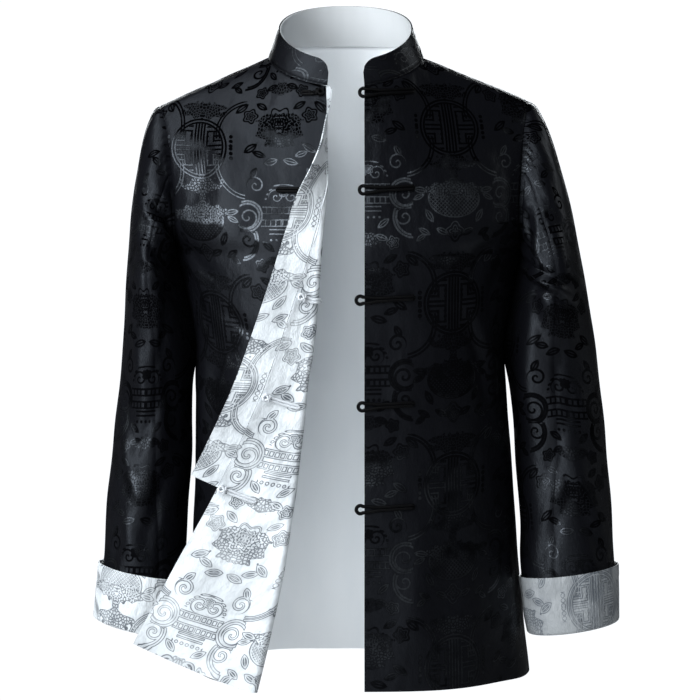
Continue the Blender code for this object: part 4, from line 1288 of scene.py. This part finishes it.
    def sprays(self):
        """Clusters of petals in ovals with ragged edges."""
        cells = add_node(self.tree, "TexVoronoi", {"Vector": self.place, "Scale": 0.28})
        cells.voronoi_dimensions = "2D"
        cells.feature = "DISTANCE_TO_EDGE"
        petals = 1.6 - Field(self.tree, cells.outputs["Distance"]) * 5.5
        ragged = noise(self.tree, self.place, 0.16, 0.0) * 9 - 4.5
        for x, y, wide, high in SPRAYS:
            oval = self.reach((self.x - x) * (1 / wide), (self.y - y) * (1 / high)) - 1
            yield petals.within(oval * (0.5 * high + 2) + ragged)

    def figures(self):
        """The least distance to any stroke of the repeat."""
        return nearest(
            self.round_of_longevity(), self.cloud_arcs(), self.scrolls(), self.lantern(),
            self.basket(), *self.sprays(), *(self.blossom(*row) for row in BLOSSOMS),
            *(self.leaf(*row) for row in LEAVES),
        )


def brocade_group():
    """A node group that turns cloth coordinates in metres into the figures and their contours."""
    tree = bpy.data.node_groups.new("brocade", "ShaderNodeTree")
    tree.interface.new_socket("Place", in_out="INPUT", socket_type="NodeSocketVector")
    for name in ("Figure", "Contour", "Near"):
        tree.interface.new_socket(name, in_out="OUTPUT", socket_type="NodeSocketFloat")
    entry, end = tree.nodes.new("NodeGroupInput"), tree.nodes.new("NodeGroupOutput")
    split = add_node(tree, "SeparateXYZ", {0: entry.outputs[0]})
    across, up = (Field(tree, split.outputs[k]) * (1 / MM) for k in (0, 1))
    weave = Weave(tree, across.math("PINGPONG", REPEAT_WIDE / 2),
                  up.math("WRAP", HIGHEST, LOWEST))
    figures = weave.figures()
    fill(tree, end, {
        "Figure": soft(figures, STROKE + 0.4, STROKE - 0.4),
        "Contour": soft(abs(figures - STROKE), 0.75, 0.15),
        "Near": soft(figures, 8.0, 0.5),
    })
    return tree


# ---- materials

def new_material(name):
    """A material, its node tree and its shader."""
    material = bpy.data.materials.new(name)
    material.use_nodes = True
    return material, material.node_tree, material.node_tree.nodes["Principled BSDF"]


def cloth_place(tree):
    """The place on the cloth, in metres."""
    node = tree.nodes.new("ShaderNodeUVMap")
    node.uv_map = "cloth"
    return node.outputs["UV"]


def ranged(value, low, high):
    """A value of 0 to 1 spread from low to high."""
    return value * (high - low) + low


def mixed(tree, share, first, second):
    """The first colour, with a share of the second."""
    node = tree.nodes.new("ShaderNodeMix")
    node.data_type = "RGBA"
    fill(tree, node, {"Factor": share, "A": (*first, 1), "B": (*second, 1)})
    return node.outputs["Result"]


def bumped(tree, height, distance, strength):
    """Normals of a surface with small relief."""
    inputs = {"Height": height, "Distance": distance, "Strength": strength}
    return add_node(tree, "Bump", inputs).outputs["Normal"]


def woven(tree, place, crinkle, thread):
    """The relief of crinkled satin, with a share of its threads."""
    return crinkle + noise(tree, place, 900, 1.0, (1, 0.35, 1)) * thread


def figured(tree, group, place):
    """The brocade's figures, their contours and how near they are."""
    node = tree.nodes.new("ShaderNodeGroup")
    node.node_tree = group
    fill(tree, node, {"Place": place})
    return [Field(tree, node.outputs[name]) for name in ("Figure", "Contour", "Near")]


def black_satin(name, group, shine):
    """Black satin whose figures shine where it faces up a little, and are dark elsewhere."""
    material, tree, shader = new_material(name)
    place = cloth_place(tree)
    figure, contour, _ = figured(tree, group, place)
    tangent = tree.nodes.new("ShaderNodeTangent")
    tangent.direction_type = "UV_MAP"
    tangent.uv_map = "cloth"
    normal = tree.nodes.new("ShaderNodeNewGeometry").outputs["Normal"]
    up = Field(tree, add_node(tree, "SeparateXYZ", {0: normal}).outputs[2])
    lift = up + (noise(tree, place, 34) - 0.5) * 0.22
    catching = soft(lift, 0.36, 0.22) * (1 - soft(lift, 0.13, 0.03) * 0.92)
    # Painted shade: the sheen of ground and figures is dimmed along each seam by the depth of its
    # groove, as shade falling in the groove.
    seam = tree.nodes.new("ShaderNodeAttribute")
    seam.attribute_name = "seam"
    seam_shade = 1 - Field(tree, seam.outputs["Fac"]) * 0.85
    silver = figure * (1 - contour * 0.8) * seam_shade * catching
    silver = silver * ranged(noise(tree, place, 420, 1.0), 0.2, 1.6)
    ground = (1 - figure) * seam_shade * ranged(noise(tree, place, 10, 2.0, (1, 0.45, 1)), 0.04, 0.29)
    relief_height = woven(tree, place, noise(tree, place, 55, 3.0, (1, 0.6, 1)), 0.10)
    fill(tree, shader, {
        "Base Color": mixed(tree, figure, (0.0031, 0.0032, 0.0044), (0.0009, 0.0009, 0.0012)),
        "Roughness": ranged(noise(tree, place, 14), 0.42, 0.50) - silver * 0.14,
        "Specular IOR Level": silver * shine + ground,
        "Specular Tint": (0.80, 0.88, 1.0, 1),
        "Tangent": tangent.outputs[0],
        "Anisotropic": 0.6,
        "Anisotropic Rotation": 0.25 - figure * 0.25,
        "Normal": bumped(tree, relief_height, 0.0020, 0.7),
    })
    return material


def white_satin(name, group, tone=1.0):
    """White satin with pale figures that have silver grey contours, and painted shade near the figures
    and in soft patches.
    """
    material, tree, shader = new_material(name)
    place = cloth_place(tree)
    figure, contour, near = figured(tree, group, place)
    strength = ranged(noise(tree, place, 22), 0.2, 1.4)
    # Painted shade: the ground near the figures is greyed in patches, as if shaded by their puffed
    # relief.
    puff_painted_shade = near * soft(noise(tree, place, 48, 3.0), 0.36, 0.70) * 0.27
    # Painted shade: soft grey patches at random, standing in for the shading of crumpled satin.
    mottled_painted_shade = soft(noise(tree, place, 11), 0.36, 0.72) * 0.20
    share = (figure * 0.10).math("MAXIMUM", contour * strength) + puff_painted_shade + mottled_painted_shade
    # A tone under 1 darkens the whole cloth, which makes a copy with painted shade.
    ground = (0.73 * tone, 0.765 * tone, 0.80 * tone)
    height = woven(tree, place, noise(tree, place, 60, 3.0, (1, 0.6, 1)), 0.10)
    fill(tree, shader, {
        "Base Color": mixed(tree, share, ground, (0.080, 0.092, 0.11)),
        "Roughness": 0.42,
        "Specular IOR Level": 0.5,
        "Sheen Weight": 0.05,
        "Normal": bumped(tree, height, 0.0042, 0.9),
    })
    return material


def plain_satin(name, tone):
    """The same white satin, left plain on the faces that a wearer hides, with painted shade in the
    hollows of its crinkles.
    """
    material, tree, shader = new_material(name)
    place = cloth_place(tree)
    crinkle = noise(tree, place, 40, 2.0, (1, 0.3, 1))
    # Painted shade and light: the colour follows the crinkle that also makes the bump, darker in its
    # hollows and paler on its crests.
    hollow_painted_shade, crest_painted_light = (0.86 * tone, 0.89 * tone, 0.92 * tone), (0.93 * tone, 0.95 * tone, 0.97 * tone)
    fill(tree, shader, {
        "Base Color": mixed(tree, crinkle, hollow_painted_shade, crest_painted_light),
        "Roughness": 0.5,
        "Normal": bumped(tree, woven(tree, place, crinkle, 0.08), 0.0016, 0.5),
    })
    return material


def cord_satin(name, colour, roughness, gloss):
    """Satin cut on the bias and rolled to a cord, its weave running slantwise."""
    material, tree, shader = new_material(name)
    place = tree.nodes.new("ShaderNodeTexCoord").outputs["Object"]
    grain = noise(tree, place, 1400, 2.0, (1, 1, 0.4))
    darker = tuple(0.75 * part for part in colour)
    fill(tree, shader, {
        "Base Color": mixed(tree, noise(tree, place, 120, 1.0), darker, colour),
        "Roughness": ranged(grain, roughness - 0.06, roughness + 0.08),
        "Specular IOR Level": gloss,
        "Normal": bumped(tree, grain, 0.0003, 0.7),
    })
    return material


# ---- studio

CAMERA_PLACE = (0.0047, -3.0, -0.115)
CAMERA_AIM = (0.0047, 0.0, -0.345)
CAMERA_LENS = 132.3     # on a sensor 36 mm wide
FLOOR_LEVEL = -1.45
AROUND, BEHIND = 0.035, 1.1             # brightness of the room, and of what the camera sees

# Softboxes: place in metres, width, height and power
SOFTBOXES = {
    "key": ((-1.35, -1.2, 0.2), 0.9, 1.3, 30),
    "front_left": ((-1.25, -1.75, -0.3), 0.7, 0.8, 11),
    "right": ((1.9, 0.5, 0.8), 0.5, 0.7, 6),
    "front": ((-0.5, -2.3, 1.6), 1.0, 0.6, 38),
    "fill": ((0.1, -2.8, 0.45), 0.7, 0.5, 7),
    "top": ((-1.1, -0.6, 1.2), 0.8, 0.8, 14),
    "back_left": ((0.7, 2.9, 0.9), 1.2, 1.0, 44),
    "back_right": ((-0.9, 2.9, 0.7), 0.8, 1.0, 22),
}
LIGHT = (0.93, 0.975, 1.0)
LIGHT_AIM = (0, 0, -0.38)
FLOOR_REACH, FLOOR_END = 4.0, 2.6       # the floor's reach to the sides and front, and behind


def floor_pale():
    """The floor's pale, dull paint."""
    material, tree, shader = new_material("floor_pale")
    fill(tree, shader, {"Base Color": (0.85, 0.85, 0.85, 1), "Roughness": 0.9})
    return material


def pale_world():
    """Lit faintly from all round, and white behind the jacket."""
    world = bpy.data.worlds.new("studio")
    world.use_nodes = True
    tree = world.node_tree
    seen = Field(tree, tree.nodes.new("ShaderNodeLightPath").outputs["Is Camera Ray"])
    fill(tree, tree.nodes["Background"], {
        "Color": (0.95, 0.97, 1.0, 1),
        "Strength": ranged(seen, AROUND, BEHIND),
    })
    return world


def add_floor():
    """A flat floor far below the jacket, which the camera doesn't see from the front."""
    left, right, near, far = -FLOOR_REACH, FLOOR_REACH, -FLOOR_REACH, FLOOR_END
    corners = [(x, y, FLOOR_LEVEL) for x, y in ((left, near), (right, near), (right, far), (left, far))]
    mesh = bpy.data.meshes.new("floor")
    mesh.from_pydata(corners, [], [(0, 1, 2, 3)])
    mesh.materials.append(floor_pale())
    slab = bpy.data.objects.new("floor", mesh)
    bpy.context.scene.collection.objects.link(slab)


def look_at(thing, aim):
    """Turns a lamp or the camera towards a point."""
    way = Vector(aim) - Vector(thing.location)
    thing.rotation_euler = way.to_track_quat("-Z", "Y").to_euler()


def add_studio():
    """Softboxes, room, floor and camera."""
    scene = bpy.context.scene
    for name, (place, wide, high, power) in SOFTBOXES.items():
        lamp = bpy.data.lights.new(name, "AREA")
        lamp.shape = "RECTANGLE"
        lamp.size, lamp.size_y = wide, high
        lamp.energy = power
        lamp.color = LIGHT
        box = bpy.data.objects.new(name, lamp)
        box.location = place
        scene.collection.objects.link(box)
        look_at(box, LIGHT_AIM)
    scene.world = pale_world()
    add_floor()
    camera = bpy.data.objects.new("camera", bpy.data.cameras.new("camera"))
    camera.data.lens = CAMERA_LENS
    camera.data.sensor_width = 36
    camera.location = CAMERA_PLACE
    scene.collection.objects.link(camera)
    look_at(camera, CAMERA_AIM)
    scene.camera = camera
    scene.view_settings.view_transform = "Standard"


# ---- the whole scene

def dress():
    """All the cloth and the frogs, with their materials."""
    group = brocade_group()
    plain = plain_satin("white_satin_plain", 1.0)
    black = black_satin("black_satin_brocade", group, 1.1)
    black_across = black_satin("black_satin_sleeves", group, 0.45)
    white = white_satin("white_satin_brocade", group)
    # Painted shade: a darker copy of the white brocade, for the cuff on the wearer's left, which stands
    # in shade.
    painted_shade_satin = white_satin("white_satin_painted_shade", group, 0.42)
    seams = {"top": GROOVE, "last": GROOVE}
    cloths = (black, plain)
    make_panel("back", back, -1, 0.4, 1, {**seams, "first": GROOVE}, cloths)
    make_panel("front_left", front_left, 0, 0.5, -1, seams, cloths)
    make_front_right(black, white)
    make_underlap(white)
    # The collar's lining is a darker plain satin, as painted shade inside the neck.
    make_collar(black_across, plain_satin("white_satin_collar_painted_shade", 0.60))
    for side, word in ((LEFT, "left"), (RIGHT, "right")):
        make_sleeve(side, word, black_across, plain)
        make_cuff(side, word, painted_shade_satin if side == LEFT else white)
    cord_black = cord_satin("cord_black_satin", (0.0012, 0.0012, 0.0016), 0.50, 0.07)
    cord_white = cord_satin("cord_white_satin", (0.68, 0.71, 0.75), 0.40, 0.3)
    for index, level in enumerate(FROG_LEVELS, start=1):
        make_loop(index, level, cord_black)
    make_front_knot(1, 23.5, cord_black)
    make_front_knot(2, 32.0, cord_black)
    for index in (3, 4, 5):
        make_lapel_knot(index, -1, "white", cord_white)
    for index in (4, 5):
        make_lapel_knot(index, 1, "black", cord_black)


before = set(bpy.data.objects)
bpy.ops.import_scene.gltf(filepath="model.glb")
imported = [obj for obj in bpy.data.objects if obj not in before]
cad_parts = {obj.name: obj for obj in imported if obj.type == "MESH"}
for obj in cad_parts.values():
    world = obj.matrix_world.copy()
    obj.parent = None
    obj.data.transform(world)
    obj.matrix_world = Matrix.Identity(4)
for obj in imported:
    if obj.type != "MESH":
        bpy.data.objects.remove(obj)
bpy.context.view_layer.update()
dress()
add_studio()
